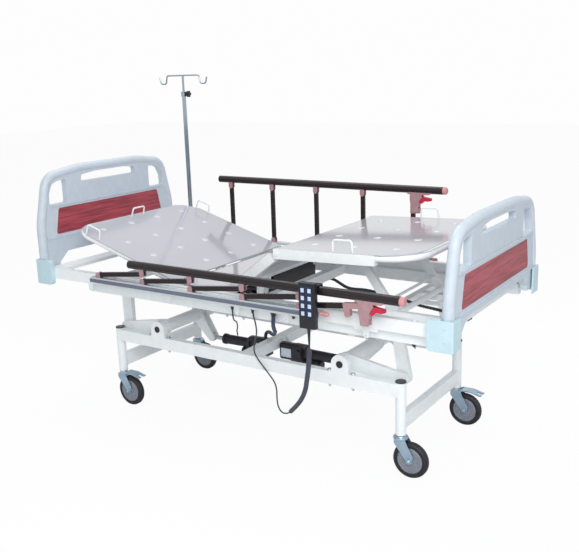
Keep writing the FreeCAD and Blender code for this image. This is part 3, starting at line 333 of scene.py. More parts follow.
# Soft PVC of the cords, in the three shades that they have
CURLY_GREY = Finish(
    "grey_pvc_sheath", "#4A4A5C", "#414152", Pattern.RUBBER, 0.32, grain_mm=1.0, relief_mm=0.03
)
LEAD_BLUE = Finish(
    "blue_grey_pvc_sheath", "#3F4C69", "#36425D", Pattern.RUBBER, 0.35, grain_mm=1.0, relief_mm=0.03
)
DARK_SHEATH = Finish(
    "dark_pvc_sheath", "#29323B", "#222A32", Pattern.RUBBER, 0.38, grain_mm=1.0, relief_mm=0.03
)


# Workbench


class Axis(Enum):
    """Axis that a turned piece is turned about."""

    X = Vector((1.0, 0.0, 0.0))
    Y = Vector((0.0, 1.0, 0.0))
    Z = Vector((0.0, 0.0, 1.0))


class Way(Enum):
    """Which way a turned piece grows along its axis."""

    BACK = -1.0
    FORTH = 1.0


class Kind(Enum):
    """What a selection is made of."""

    EDGES = "EDGE"
    FACES = "FACE"


@dataclass(frozen=True)
class Profile:
    """Outline of a turned piece.

    It starts as a disc of radius foot_mm with so many sides. Each step then says how far the disc is
    drawn out along the axis, and the radius it ends at.
    """

    foot_mm: float
    steps_mm: tuple[Span, ...]
    sides: int


HUB_FACE = Profile(
    51.5,
    (
        (1.6, 49.5), (0.0, 45.0), (-1.4, 44.5), (0.0, 40.5), (1.4, 40.0), (0.0, 35.0),
        (-1.4, 34.5), (0.0, 30.0), (1.4, 29.5), (0.0, 24.0), (-1.2, 23.5), (0.0, 17.0),
    ),
    48,
)
AXLE_WASHER = Profile(10.0, ((1.4, 10.0), (0.2, 9.7)), 32)
AXLE_NUT = Profile(8.2, ((5.0, 8.2), (0.9, 7.2)), 6)
AXLE_TIP = Profile(4.0, ((1.2, 4.0), (0.5, 3.4)), 20)
BALL_RACE = Profile(30.5, ((3.5, 30.5), (2.5, 29.0), (0.0, 24.5), (3.0, 23.5), (1.5, 21.5)), 40)
BOLT_WASHER = Profile(11.5, ((1.8, 11.5), (0.3, 11.1)), 32)
BOLT_HEAD = Profile(8.8, ((4.8, 8.8), (1.0, 7.6)), 6)
BOLT_NUT = Profile(9.0, ((7.0, 9.0), (1.0, 7.8)), 6)
BOLT_TIP = Profile(4.6, ((6.0, 4.6), (1.0, 3.8)), 20)
BUMP_STOP = Profile(8.5, ((6.0, 8.5), (0.0, 7.0), (8.0, 5.8), (1.5, 4.2)), 28)
SCREW_PLUG = Profile(5.0, ((0.6, 5.0), (0.4, 4.4)), 24)
RIVET_HEAD = Profile(5.8, ((0.6, 5.6), (0.7, 4.6), (0.4, 2.8)), 20)
THIN_GROMMET = Profile(8.5, ((3.0, 8.8), (0.0, 7.2), (16.0, 4.6), (1.0, 3.8)), 28)
WIDE_GROMMET = Profile(12.0, ((3.0, 12.5), (0.0, 10.8), (12.0, 10.0), (1.0, 9.2)), 28)
STRAIN_RELIEF = Profile(9.2, ((4.0, 9.5), (0.0, 7.8), (34.0, 5.0), (1.5, 4.4)), 28)


def started(name: str, size: Vector | None = None) -> Piece:
    """Names the new primitive, settles its size and place in its mesh and opens it in edit mode.

    Args:
        name: The piece's name.
        size: Its lengths along X, Y and Z, where the primitive is of unit size.

    Returns:
        The piece, in edit mode.
    """
    piece = bpy.context.active_object
    piece.name = name
    if size is not None:
        piece.scale = size
    bpy.ops.object.transform_apply(location=True, rotation=True, scale=True)
    bpy.ops.object.mode_set(mode="EDIT")
    return piece


def pick(kind: Kind, test: Test) -> None:
    """Selects the edges or faces of the open piece that pass a test.

    Args:
        kind: Edges or faces.
        test: Takes the middle, and the run of an edge or the normal of a face.
    """
    bpy.ops.mesh.select_mode(type=kind.value)
    bpy.ops.mesh.select_all(action="DESELECT")
    mesh = bpy.context.edit_object.data
    bm = bmesh.from_edit_mesh(mesh)
    if kind is Kind.EDGES:
        for edge in bm.edges:
            a, b = edge.verts[0].co, edge.verts[1].co
            if test((a + b) / 2.0, (b - a).normalized()):
                edge.select_set(True)
    else:
        for face in bm.faces:
            if test(face.calc_center_median(), face.normal):
                face.select_set(True)
    bmesh.update_edit_mesh(mesh)


def pull(axis: Axis, step_mm: float) -> None:
    """Extrudes the selection along an axis."""
    bpy.ops.mesh.extrude_region_move(TRANSFORM_OT_translate={"value": axis.value * step_mm / 1000.0})


def rounded(radius_mm: float, segments: int) -> None:
    """Rounds the selected edges."""
    bpy.ops.mesh.bevel(offset=radius_mm / 1000.0, segments=segments, profile=0.5, affect="EDGES")


def panel(axis: Axis, way: float, margin_mm: float, step_mm: float) -> None:
    """Insets the flat face at one end of a piece and extrudes the field within.

    Args:
        axis: The axis that the face looks along.
        way: The sign of its normal.
        margin_mm: Width of the border that stays.
        step_mm: How far the field moves along the axis.
    """
    pick(Kind.FACES, lambda _, normal: normal.dot(axis.value) * way > 0.99)
    bpy.ops.mesh.inset(thickness=margin_mm / 1000.0)
    pull(axis, step_mm)


def closed(piece: Piece) -> Piece:
    """Turns the open piece's normals outwards and leaves edit mode.

    Args:
        piece: The piece.

    Returns:
        The same piece, in object mode.
    """
    bpy.ops.mesh.select_all(action="SELECT")
    bpy.ops.mesh.normals_make_consistent(inside=False)
    bpy.ops.mesh.select_all(action="DESELECT")
    bpy.ops.object.mode_set(mode="OBJECT")
    return piece


def turn(name: str, place: Vector, axis: Axis, way: Way, profile: Profile) -> Piece:
    """Turns a piece: a disc drawn out step by step, each step with its own radius.

    Args:
        name: The piece's name.
        place: Middle of its foot.
        axis: The axis it is turned about.
        way: Which way it grows.
        profile: Its outline.

    Returns:
        The piece, in object mode.
    """
    run = axis.value * way.value
    facing = run.to_track_quat("Z", "Y").to_euler()
    bpy.ops.object.select_all(action="DESELECT")
    bpy.ops.mesh.primitive_circle_add(
        vertices=profile.sides,
        radius=profile.foot_mm / 1000.0,
        fill_type="NGON",
        location=place,
        rotation=facing,
    )
    piece = started(name)
    bpy.ops.mesh.select_mode(type="FACE")
    bpy.ops.mesh.select_all(action="SELECT")
    centre, now = place.copy(), profile.foot_mm
    for rise, after in profile.steps_mm:
        pull(axis, way.value * rise)
        centre += run * rise / 1000.0
        if after != now:
            share = after / now
            bpy.ops.transform.resize(value=(share, share, share), center_override=centre)
            now = after
    return closed(piece)


def stacked(
    name: str, place: Vector, axis: Axis, way: Way, parts: Sequence[tuple[float, Profile]]
) -> list[Piece]:
    """Turns the pieces that sit one on another, such as a washer, a nut and a bolt's tip.

    Args:
        name: Their name, until they are joined.
        place: Where the stack starts.
        axis: The axis they share.
        way: Which way the stack grows.
        parts: How far along the stack each piece starts, in millimetres, and its outline.

    Returns:
        The pieces, in object mode.
    """
    run = axis.value * way.value / 1000.0
    return [turn(name, place + run * rise, axis, way, profile) for rise, profile in parts]


def at_ends(
    name: str, middle: Vector, reach: float, parts: Sequence[tuple[float, Profile]]
) -> list[Piece]:
    """Turns the same stack at both ends of a pin or axle that runs across the bed.

    Args:
        name: Their name, until they are joined.
        middle: Middle of the pin.
        reach: How far its ends stand from there.
        parts: How far along a stack each piece starts, in millimetres, and its outline.

    Returns:
        The pieces, in object mode.
    """
    pieces = []
    for way in Way:
        pieces += stacked(name, middle + Axis.Y.value * way.value * reach, Axis.Y, way, parts)
    return pieces


def block(
    name: str, x_mm: Span, y_mm: Span, z_mm: Span, radius_mm: float, segments: int, sign: float = 1.0
) -> Piece:
    """A block with all its edges rounded.

    Args:
        name: The piece's name.
        x_mm: Where it starts and ends along X.
        y_mm: The same along Y.
        z_mm: The same along Z.
        radius_mm: Radius of its edges.
        segments: Facets of each rounding.
        sign: Minus one mirrors it to the other end of the bed.

    Returns:
        The piece, open in edit mode.
    """
    x_low, x_high = sorted(sign * x for x in x_mm)
    low, high = at(x_low, y_mm[0], z_mm[0]), at(x_high, y_mm[1], z_mm[1])
    bpy.ops.object.select_all(action="DESELECT")
    bpy.ops.mesh.primitive_cube_add(size=1.0, location=(low + high) / 2.0)
    piece = started(name, high - low)
    bpy.ops.mesh.select_all(action="SELECT")
    rounded(radius_mm, segments)
    return piece


def joined(pieces: Sequence[Piece]) -> Piece:
    """Joins like pieces of one body into one.

    Args:
        pieces: The pieces. The first one gives the name.

    Returns:
        The joined piece.
    """
    bpy.ops.object.select_all(action="DESELECT")
    for piece in pieces:
        piece.select_set(True)
    bpy.context.view_layer.objects.active = pieces[0]
    bpy.ops.object.join()
    return pieces[0]


def finish(piece: Piece, look: Finish, body: str, degrees: float = 35.0) -> Piece:
    """Smooths a piece, gives it its finish and sets it on its body.

    Args:
        piece: The piece.
        look: Its finish.
        body: The body that carries it.
        degrees: Edges sharper than this stay sharp.

    Returns:
        The same piece.
    """
    bpy.ops.object.select_all(action="DESELECT")
    piece.select_set(True)
    bpy.context.view_layer.objects.active = piece
    bpy.ops.object.shade_smooth_by_angle(angle=math.radians(degrees))
    piece.data.materials.clear()
    piece.data.materials.append(look.build())
    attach(piece, body)
    LOG.info("piece %s on %s: %s", piece.name, body, look.name)
    return piece


def paint(node: str, base: Finish, rules: Sequence[tuple[Finish, Test]] = ()) -> None:
    """Gives a solid its finishes, face by face, without touching its shape.

    Args:
        node: The solid's name.
        base: The finish of every face that no rule picks.
        rules: Finishes with the test that picks their faces, from centre and normal. A later rule wins.
    """
    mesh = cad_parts[node].data
    mesh.materials.clear()
    for look in (base, *(rule[0] for rule in rules)):
        mesh.materials.append(look.build())
    for face in mesh.polygons:
        face.material_index = 0
        for index, (_, test) in enumerate(rules, start=1):
            if test(face.center, face.normal):
                face.material_index = index
    LOG.info("solid %s: %s", node, base.name)


class Assembly:
    """A sub-assembly of the bed."""

    def dress(self) -> None:
        """Paints its solids."""
        raise NotImplementedError

    def build(self) -> None:
        """Makes the pieces that its solids lack. Some lack none."""


# Platform


@dataclass(frozen=True)
class Section:
    """One raised section of the platform.

    It stands turned by some degrees about its hinge, which itself stands above its place when the
    platform lies flat.
    """

    node: str
    hinge: Vector
    degrees: float
    rise: float = 0.0

    def height(self, point: Vector) -> float:
        """Height that a point of the raised section has when the platform lies flat."""
        turned = Matrix.Rotation(math.radians(self.degrees), 4, "Y") @ (point - self.hinge) + self.hinge
        return turned.z - self.rise


@dataclass
class Platform(Assembly):
    """The four sections that carry the mattress: enamelled sheet on coated tube."""

    hinge_z_mm: float = 690.0
    hip_x_mm: float = -262.0
    seat_x_mm: float = 10.0
    knee_x_mm: float = 271.95
    knee_z_mm: float = 887.4
    back_degrees: float = -17.0
    thigh_degrees: float = 37.0
    leg_degrees: float = 2.0
    # Heights between which the middles of the faces of a sheet, and of its dimples, lie
    sheet: Span = (0.7078, 0.7148)
    dimples: Span = (0.7122, 0.7147)

    def raised(self) -> list[Section]:
        """Places the sections that stand raised.

        Returns:
            The sections, from head to foot.
        """
        hip, seat = (at(x, 0, self.hinge_z_mm) for x in (self.hip_x_mm, self.seat_x_mm))
        knee = at(self.knee_x_mm, 0, self.knee_z_mm)
        knee_rise = (self.knee_z_mm - self.hinge_z_mm) / 1000.0
        return [
            Section("back_section", hip, self.back_degrees),
            Section("thigh_section", seat, self.thigh_degrees),
            Section("leg_section", knee, self.leg_degrees, knee_rise),
        ]

    @staticmethod
    def between(section: Section, span: Span) -> Test:
        """Test for the faces of a section that lie between two heights of the flat platform."""
        return lambda centre, _: span[0] < section.height(centre) < span[1]

    def dress(self) -> None:
        """Paints the sections, their sheets, and a painted highlight on the dimples in them."""
        paint("seat_section", GREY_ENAMEL)
        for section in self.raised():
            rules = [(GREY_ENAMEL, self.between(section, self.sheet))]
            # The dimples get a paler enamel: a painted highlight.
            rules.append((DIMPLE_PAINTED_HIGHLIGHT, self.between(section, self.dimples)))
            paint(section.node, WHITE_COAT, rules)


# Base, lift and castors


@dataclass(frozen=True)
class Castor:
    """One swivel castor by its name, its end and side of the bed, and whether it has a brake pedal."""

    name: str
    end: End
    side: Side
    braked: bool


@dataclass
class Undercarriage(Assembly):
    """Base frame, castors, lift arms and the upper frame."""

    castors: tuple[Castor, ...] = (
        Castor("hn", End.HEAD, Side.NEAR, True),
        Castor("hf", End.HEAD, Side.FAR, False),
        Castor("fn", End.FOOT, Side.NEAR, False),
        Castor("ff", End.FOOT, Side.FAR, True),
    )
    leg_x: float = 0.760
    leg_y: float = 0.289
    trail: float = 0.045
    wheel_radius: float = 0.075
    tyre_bore: float = 0.0535
    race_z: float = 0.1609
    # Caps of the legs and plugs of the lift shafts lie beyond these
    cap_radius: float = 0.0235
    cap_z: float = 0.3949
    shaft_end: float = 0.3099
    # From the middle of a wheel to the faces of its hub and of its fork
    hub_reach: float = 0.0119
    fork_reach: float = 0.0249
    bolt_x_mm: tuple[float, ...] = (-550.0, -440.0, 440.0, 550.0)
    bolt_y_mm: float = 295.0
    bolt_z_mm: Span = (335.1, 390.9)
    stops_mm: tuple[Point, ...] = (
        (369.0, -445.0, 657.1), (369.0, 445.0, 657.1), (872.0, -413.0, 612.1), (872.0, 413.0, 612.1),
    )

    def stem(self, castor: Castor, z: float) -> Vector:
        """Point at some height in the middle of a castor's stem."""
        return SHIFT + Vector((castor.end.value * self.leg_x, castor.side.value * self.leg_y, z))

    def axle(self, castor: Castor) -> Vector:
        """Middle of a castor's wheel, which trails towards the foot end."""
        return self.stem(castor, self.wheel_radius) + Vector((self.trail, 0.0, 0.0))

    def hub_faces(self, castor: Castor) -> None:
        """Makes the ribbed faces of a castor's hub."""
        faces = at_ends("hub_faces_" + castor.name, self.axle(castor), self.hub_reach, [(0.0, HUB_FACE)])
        finish(joined(faces), HUB_GREY, "castor_wheel_" + castor.name)

    def axle_nuts(self, castor: Castor) -> None:
        """Makes the hexagon nuts and washers at both ends of a castor's axle.

        Args:
            castor: The castor.
        """
        parts = [(0.0, AXLE_WASHER), (1.5, AXLE_NUT), (7.2, AXLE_TIP)]
        nuts = at_ends("axle_nuts_" + castor.name, self.axle(castor), self.fork_reach, parts)
        finish(joined(nuts), BLUE_ZINC, "castor_fork_" + castor.name)

    def race(self, castor: Castor) -> None:
        """Makes the pressed ball race on top of an unbraked fork."""
        race = turn("race_" + castor.name, self.stem(castor, self.race_z), Axis.Z, Way.FORTH, BALL_RACE)
        finish(race, BLUE_ZINC, "castor_fork_" + castor.name)

    def bearing_bolts(self) -> None:
        """Makes the bolts that hold the shaft bearings on the base rails."""
        low, high = self.bolt_z_mm
        bolts = []
        for x in self.bolt_x_mm:
            for side in Side:
                y = side.value * self.bolt_y_mm
                heads = [(0.0, BOLT_WASHER), (1.9, BOLT_HEAD)]
                bolts += stacked("bearing_bolts", at(x, y, high), Axis.Z, Way.FORTH, heads)
                nuts = [(0.0, BOLT_NUT), (7.8, BOLT_TIP)]
                bolts += stacked("bearing_bolts", at(x, y, low), Axis.Z, Way.BACK, nuts)
        finish(joined(bolts), BRIGHT_STEEL, "base")

    def bump_stops(self) -> None:
        """Makes the black rubber stops under the side tubes."""
        stops = [turn("bump_stops", at(*place), Axis.Z, Way.BACK, BUMP_STOP) for place in self.stops_mm]
        finish(joined(stops), BLACK_TRIM, "upper_frame")

    def build(self) -> None:
        """Makes the hub faces, nuts, races, bolts and stops."""
        for castor in self.castors:
            self.hub_faces(castor)
            self.axle_nuts(castor)
            if not castor.braked:
                self.race(castor)
        self.bearing_bolts()
        self.bump_stops()

    def leg_cap(self, centre: Vector, _: Vector) -> bool:
        """Whether a face belongs to one of the black caps of the legs."""
        x, y, z = centre - SHIFT
        return math.hypot(abs(x) - self.leg_x, abs(y) - self.leg_y) < self.cap_radius and z > self.cap_z

    def shaft_plug(self, centre: Vector, _: Vector) -> bool:
        """Whether a face belongs to a black plug in the end of a lift shaft."""
        return abs(centre.y - SHIFT.y) > self.shaft_end

    def tyre(self, castor: Castor) -> Test:
        """Test for the faces of a castor's tyre, which lies around its hub."""
        axle = self.axle(castor)
        return lambda centre, _: math.hypot(centre.x - axle.x, centre.z - axle.z) > self.tyre_bore

    def dress(self) -> None:
        """Paints the frames, arms, castors and pedals."""
        paint("base_frame", WHITE_COAT, [(BLACK_TRIM, self.leg_cap)])
        for node in ("head_lift_shaft", "foot_lift_shaft"):
            paint(node, WHITE_COAT, [(BLACK_TRIM, self.shaft_plug)])
        for node in ("foot_links", "upper_frame", "strut_tracks", "leg_strut"):
            paint(node, WHITE_COAT)
        for castor in self.castors:
            paint("castor_wheel_" + castor.name, HUB_GREY, [(TYRE, self.tyre(castor))])
            paint("castor_fork_" + castor.name, BLUE_ZINC)
            if castor.braked:
                paint("castor_pedal_" + castor.name, BLUE_ZINC)


# Boards


@dataclass(frozen=True)
class Corner:
    """Moulded corner that wraps the end of a side tube and the foot of a board.

    Seen from above it is a hook: a strip along the tube, round the board's edge and back over the
    board's outer face.
    """

    end: End
    side: Side
    # Where the board's outer face lies, and the heights of the corner's foot and head
    face_mm: float
    z_mm: Span
    board_mm: float = 44.3
    gap_mm: float = 0.3
    skin_mm: float = 8.0
    # How far it reaches along the tube, and how far it laps the board's face
    reach_mm: float = 92.0
    lap_mm: float = 72.0
    # Outer face of the tube, and of the board's edge
    tube_mm: float = 460.3
    edge_mm: float = 478.3
    upright_round_mm: float = 7.5
    root_round_mm: float = 15.0
    rim_round_mm: float = 2.2
    plug_back_mm: float = 22.0
    plug_sunk_mm: float = 0.2
    plug_z_mm: Span = (656.0, 706.0)

    def spot(self, x: float, y: float) -> Vector:
        """A point of the foot, from its distances in millimetres to the middle of the bed."""
        return at(self.end.value * x, self.side.value * y, self.z_mm[0])

    def stations(self) -> tuple[float, float, float, float]:
        """Where it starts on the tube, the board's inner and outer faces, and where it ends."""
        face = self.face_mm + self.gap_mm
        return self.face_mm - self.reach_mm, self.face_mm - self.board_mm, face, face + self.skin_mm

    def outline(self) -> None:
        """Draws the foot from its first strip: on past the board, then in at both ends."""
        root, inside, outside, last = self.stations()
        for start, stop in ((inside, outside), (outside, last)):
            pick(Kind.EDGES, lambda m, run: same(m.x, self.spot(start, 0).x) and abs(run.y) > 0.9)
            pull(Axis.X, self.end.value * (stop - start))
        inner = self.spot(0, self.edge_mm).y
        lap = self.edge_mm + self.skin_mm - self.lap_mm
        for start, stop, reach in ((root, inside, self.tube_mm), (outside, last, lap)):
            low, high = sorted((self.spot(start, 0).x, self.spot(stop, 0).x))
            pick(Kind.EDGES, lambda m, run: same(m.y, inner) and abs(run.x) > 0.9 and low < m.x < high)
            pull(Axis.Y, self.side.value * (reach - self.edge_mm))

    def upright(self, middle: Vector, run: Vector) -> bool:
        """Whether an edge is the outermost upright one."""
        off = middle - self.spot(self.stations()[-1], self.edge_mm + self.skin_mm)
        return abs(run.z) > 0.9 and same(off.x, 0.0) and same(off.y, 0.0)

    def root(self, middle: Vector, run: Vector) -> bool:
        """Whether an edge runs across the end on the tube."""
        return abs(run.y) > 0.9 and same(middle.x, self.spot(self.stations()[0], 0).x)

    def rim(self, middle: Vector, run: Vector) -> bool:
        """Whether an edge lies around the outside of foot or head, and not inside the lap.

        Args:
            middle: Middle of the edge.
            run: Its direction.

        Returns:
            True if it does.
        """
        if abs(run.z) >= 0.1 or not any(same(middle.z, z / 1000.0) for z in self.z_mm):
            return False
        off = middle - self.spot(self.stations()[-1], self.edge_mm + self.skin_mm)
        off_x, off_y = abs(off.x) * 1000.0, abs(off.y) * 1000.0
        in_round, in_skin = self.upright_round_mm - 0.3, self.skin_mm - 0.1
        in_lap = 0.5 < off_x < in_skin < off_y and abs(run.y) > 0.9
        return (off_x < in_round or off_y < in_round) and not in_lap

    def build(self) -> Piece:
        """Makes the corner and its screw plugs.

        Returns:
            The finished corner.
        """
        root, inside, _, _ = self.stations()
        name = "corner_%s_%s" % (self.end.name.lower(), self.side.name.lower())
        middle = self.spot((root + inside) / 2.0, self.edge_mm + self.skin_mm / 2.0)
        bpy.ops.object.select_all(action="DESELECT")
        bpy.ops.mesh.primitive_plane_add(size=1.0, location=middle)
        piece = started(name, Vector((inside - root, self.skin_mm, 1000.0)) / 1000.0)
        self.outline()
        bpy.ops.mesh.select_mode(type="FACE")
        bpy.ops.mesh.select_all(action="SELECT")
        pull(Axis.Z, self.z_mm[1] - self.z_mm[0])
        bpy.ops.mesh.select_all(action="SELECT")
        bpy.ops.mesh.normals_make_consistent(inside=False)
        for test, radius_mm, segments in (
            (self.upright, self.upright_round_mm, 5),
            (self.root, self.root_round_mm, 6),
            (self.rim, self.rim_round_mm, 3),
        ):
            pick(Kind.EDGES, test)
            rounded(radius_mm, segments)
        finish(closed(piece), CORNER_PLASTIC, "upper_frame", 30.0)
        self.plugs(name + "_plugs")
        return piece

    def plugs(self, name: str) -> None:
        """Makes the two screw plugs in the side of the corner.

        Args:
            name: Their name.
        """
        x = self.end.value * (self.face_mm - self.plug_back_mm)
        y = self.side.value * (self.edge_mm + self.skin_mm - self.plug_sunk_mm)
        way = Way(self.side.value)
        heads = [turn(name, at(x, y, z), Axis.Y, way, SCREW_PLUG) for z in self.plug_z_mm]
        finish(joined(heads), CORNER_PLASTIC, "upper_frame")


@dataclass
class Boards(Assembly):
    """Head and foot boards with their moulded corners."""

    # For each end, where the outer face of its board lies, and the heights of its corners
    foot_mm: tuple[float, Span] = (1044.0, (618.0, 734.0))
    head_mm: tuple[float, Span] = (1086.0, (628.0, 746.0))

    def build(self) -> None:
        """Makes the corners, which take the place of their solids."""
        ends = ((End.FOOT, self.foot_mm), (End.HEAD, self.head_mm))
        corners = [Corner(end, side, *sizes).build() for end, sizes in ends for side in Side]
        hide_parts("corner_brackets")

    def dress(self) -> None:
        """Paints the boards, the wood panels and the solids of the corners."""
        for node in ("headboard", "footboard"):
            paint(node, BOARD_PLASTIC)
        paint("wood_panels", WOOD_PRINT)
        paint("corner_brackets", CORNER_PLASTIC)


# Drives


@dataclass
class Drives(Assembly):
    """Actuators, control box and hand control."""

    names: tuple[str, ...] = ("head", "foot", "back", "knee")
    # Motor cover of a lift actuator, with a raised field in front and a nose at its end, and the plate
    # on it. All are measured for the foot end.
    cover_x_mm: Span = (31.0, 150.0)
    cover_y_mm: Span = (-67.0, -27.0)
    cover_z_mm: Span = (297.0, 376.0)
    cover_round_mm: float = 10.0
    field_margin_mm: float = 6.0
    field_rise_mm: float = 1.6
    nose_margin_mm: float = 8.0
    nose_rise_mm: float = 18.0
    nose_round_mm: float = 3.0
    plate_x_mm: Span = (44.0, 98.0)
    plate_y_mm: Span = (-69.2, -68.2)
    plate_z_mm: Span = (312.0, 354.0)
    plate_round_mm: float = 0.4
    # Raised border of the hand control's front
    bezel_x_mm: Span = (470.0, 530.0)
    bezel_y_mm: Span = (-556.0, -553.6)
    bezel_z_mm: Span = (694.0, 820.0)
    bezel_round_mm: float = 0.8
    bezel_margin_mm: float = 2.2
    bezel_depth_mm: float = 1.0
    key_y_mm: float = -555.6

    def motor_cover(self, end: End) -> None:
        """Makes the moulded motor cover on a lift actuator, with a bare foil plate.

        Args:
            end: The end of the bed that the actuator lifts.
        """
        name, sign = end.name.lower() + "_actuator", end.value
        spans = self.cover_x_mm, self.cover_y_mm, self.cover_z_mm
        piece = block(name + "_cover", *spans, self.cover_round_mm, 4, sign)
        panel(Axis.Y, -1.0, self.field_margin_mm, -self.field_rise_mm)
        panel(Axis.X, sign, self.nose_margin_mm, sign * self.nose_rise_mm)
        rounded(self.nose_round_mm, 3)
        finish(closed(piece), BLACK_HOUSING, name)
        spans = self.plate_x_mm, self.plate_y_mm, self.plate_z_mm
        plate = block(name + "_plate", *spans, self.plate_round_mm, 1, sign)
        finish(closed(plate), BARE_PLATE, name)

    def bezel(self) -> None:
        """Makes the raised border around the hand control's keypad."""
        spans = self.bezel_x_mm, self.bezel_y_mm, self.bezel_z_mm
        piece = block("handset_bezel", *spans, self.bezel_round_mm, 2)
        panel(Axis.Y, -1.0, self.bezel_margin_mm, self.bezel_depth_mm)
        finish(closed(piece), HANDSET_NAVY, "near_top_rail")

    def build(self) -> None:
        """Makes the motor covers and the hand control's bezel."""
        self.motor_cover(End.FOOT)
        self.motor_cover(End.HEAD)
        self.bezel()

    def dress(self) -> None:
        """Paints the drives, and the raised keys paler than their keypad."""
        for name in self.names:
            paint(name + "_actuator", BLACK_HOUSING)
            paint(name + "_actuator_rod", BRIGHT_STEEL)
        paint("control_box", BLACK_HOUSING)
        paint("handset", HANDSET_NAVY)
        front = at(0, self.key_y_mm, 0).y
        paint("keypad", KEYPAD_NAVY, [(KEY_PALE, lambda c, n: c.y < front and n.y < -0.5)])


# Side rails


@dataclass
class SideRail(Assembly):
    """One folding side rail, near or far.

    The top rail is a tube at height tube_z that ends at tube_end_mm, where its plug starts. Its faces
    lie within tube_reach of its axis. The posts stand lean_degrees above the level line: upright when
    the rail is up, nearly level when it is folded.
    """

    side: Side
    tube_z: float
    tube_end_mm: float
    lean_degrees: float
    tube_reach: float = 0.0184
    plane_mm: float = 505.0
    first_mm: float = -640.0
    pitch_mm: float = 270.0
    post_mm: float = 272.0
    posts: int = 5
    pin_z_mm: float = 724.0
    # From a pin's middle to its ends, in a yoke and in the lock housing, and between the lock's pins
    yoke_reach: float = 0.0114
    lock_reach: float = 0.0127
    lock_pitch: float = 0.042
    # The catch on the last post: how far down the post it starts and ends, and the post's half sizes
    catch_span: Span = (0.0149, 0.0781)
    post_half_y: float = 0.00705
    post_half_x: float = 0.01005
    # The lower rail: where its plug starts, how high its section and the painted reflection on its outer
    # face reach, and how far out that face lies
    section_end_mm: float = 536.2
    yoke_z: float = 0.7125
    painted_reflection_z: float = 0.7075
    painted_reflection_y: float = 0.5268

    def node(self, part: str) -> str:
        """Name of the node or body of one part of this rail."""
        return "%s_%s" % (self.side.name.lower(), part)

    def along(self) -> Vector:
        """Direction of the posts, from their lower to their upper pins."""
        lean = math.radians(self.lean_degrees)
        return Vector((math.cos(lean), 0.0, math.sin(lean)))

    def lower_pin(self, index: int) -> Vector:
        """Lower pin of a post."""
        x = self.first_mm + self.pitch_mm * index
        return at(x, self.side.value * self.plane_mm, self.pin_z_mm)

    def upper_pin(self, index: int) -> Vector:
        """Upper pin of a post as the rail is drawn."""
        return self.lower_pin(index) + self.along() * self.post_mm / 1000.0

    def rivets(self, name: str, body: str, pins: Sequence[tuple[Vector, float]]) -> None:
        """Makes the domed rivet heads at both ends of some pins.

        Args:
            name: The piece's name.
            body: The body that carries it.
            pins: Each pin's middle, and how far its ends stand from it.
        """
        heads = []
        for middle, reach in pins:
            heads += at_ends(name, middle, reach, [(0.0, RIVET_HEAD)])
        finish(joined(heads), MAUVE_NYLON, body)

    def build(self) -> None:
        """Makes the rivets of the yokes and of the lock."""
        pins = [(self.lower_pin(i), self.yoke_reach) for i in range(self.posts)]
        self.rivets(self.node("lower_rivets"), "upper_frame", pins)
        last = self.upper_pin(self.posts - 1)
        pins = [(self.upper_pin(i), self.yoke_reach) for i in range(self.posts - 1)]
        pins += [(last, self.lock_reach), (last + Vector((self.lock_pitch, 0.0, 0.0)), self.lock_reach)]
        self.rivets(self.node("upper_rivets"), self.node("top_rail"), pins)

    def in_tube(self, centre: Vector) -> bool:
        """Whether a face of the top rail lies on or in the tube, or on the plug in its end."""
        y = at(0, self.side.value * self.plane_mm, 0).y
        return math.hypot(centre.y - y, centre.z - self.tube_z) < self.tube_reach

    def tube(self, centre: Vector, _: Vector) -> bool:
        """Whether a face of the top rail belongs to the tube."""
        return self.in_tube(centre) and centre.x < at(self.tube_end_mm, 0, 0).x

    def tube_plug(self, centre: Vector, _: Vector) -> bool:
        """Whether a face of the top rail belongs to the plug."""
        return self.in_tube(centre) and centre.x >= at(self.tube_end_mm, 0, 0).x

    def catch(self, centre: Vector, _: Vector) -> bool:
        """Whether a face of the last post belongs to the moulded catch around it.

        Args:
            centre: Middle of the face.

        Returns:
            True if it does.
        """
        off, along = self.upper_pin(self.posts - 1) - centre, self.along()
        across = abs(Axis.Y.value.cross(along).dot(off))
        around = abs(off.y) > self.post_half_y or across > self.post_half_x
        return self.catch_span[0] < off.dot(along) < self.catch_span[1] and around

    def section(self, centre: Vector, _: Vector) -> bool:
        """Whether a face of the lower rail belongs to its aluminium section."""
        return centre.z < self.yoke_z and centre.x <= at(self.section_end_mm, 0, 0).x

    def section_plug(self, centre: Vector, _: Vector) -> bool:
        """Whether a face of the lower rail belongs to the plug in its end."""
        return centre.x > at(self.section_end_mm, 0, 0).x

    def painted_reflection(self, centre: Vector, normal: Vector) -> bool:
        """Whether a face of the lower rail lies on its outer face, which takes a dark painted reflection.
        """
        outer = abs(normal.y) > 0.9 and abs(centre.y - SHIFT.y) > self.painted_reflection_y
        return outer and centre.z < self.painted_reflection_z

    def dress(self) -> None:
        """Paints the top rail, the posts, the lower rail and the trigger."""
        rules = [(DARK_ANODISED, self.tube), (PINK_PLUG, self.tube_plug)]
        paint(self.node("top_rail"), MAUVE_NYLON, rules)
        for number in range(1, self.posts):
            paint(self.node("post_%d" % number), DARK_ANODISED)
        paint(self.node("post_%d" % self.posts), DARK_ANODISED, [(MAUVE_NYLON, self.catch)])
        # The outer face of the lower rail gets dark slate: a painted reflection.
        rules = [(BRIGHT_ALUMINIUM, self.section), (PINK_PLUG, self.section_plug), (SLATE_PAINTED_REFLECTION, self.painted_reflection)]
        paint(self.node("lower_rail"), MAUVE_NYLON, rules)
        paint(self.node("trigger"), RED_NYLON)


@dataclass
class InfusionPole(Assembly):
    """Telescopic pole at the far head corner."""

    def dress(self) -> None:
        """Paints the pole, its hook bar and its clamp knob."""
        for node, look in (("iv_pole", CHROME), ("iv_rod", CHROME), ("iv_knob", BLACK_TRIM)):
            paint(node, look)


# Cords


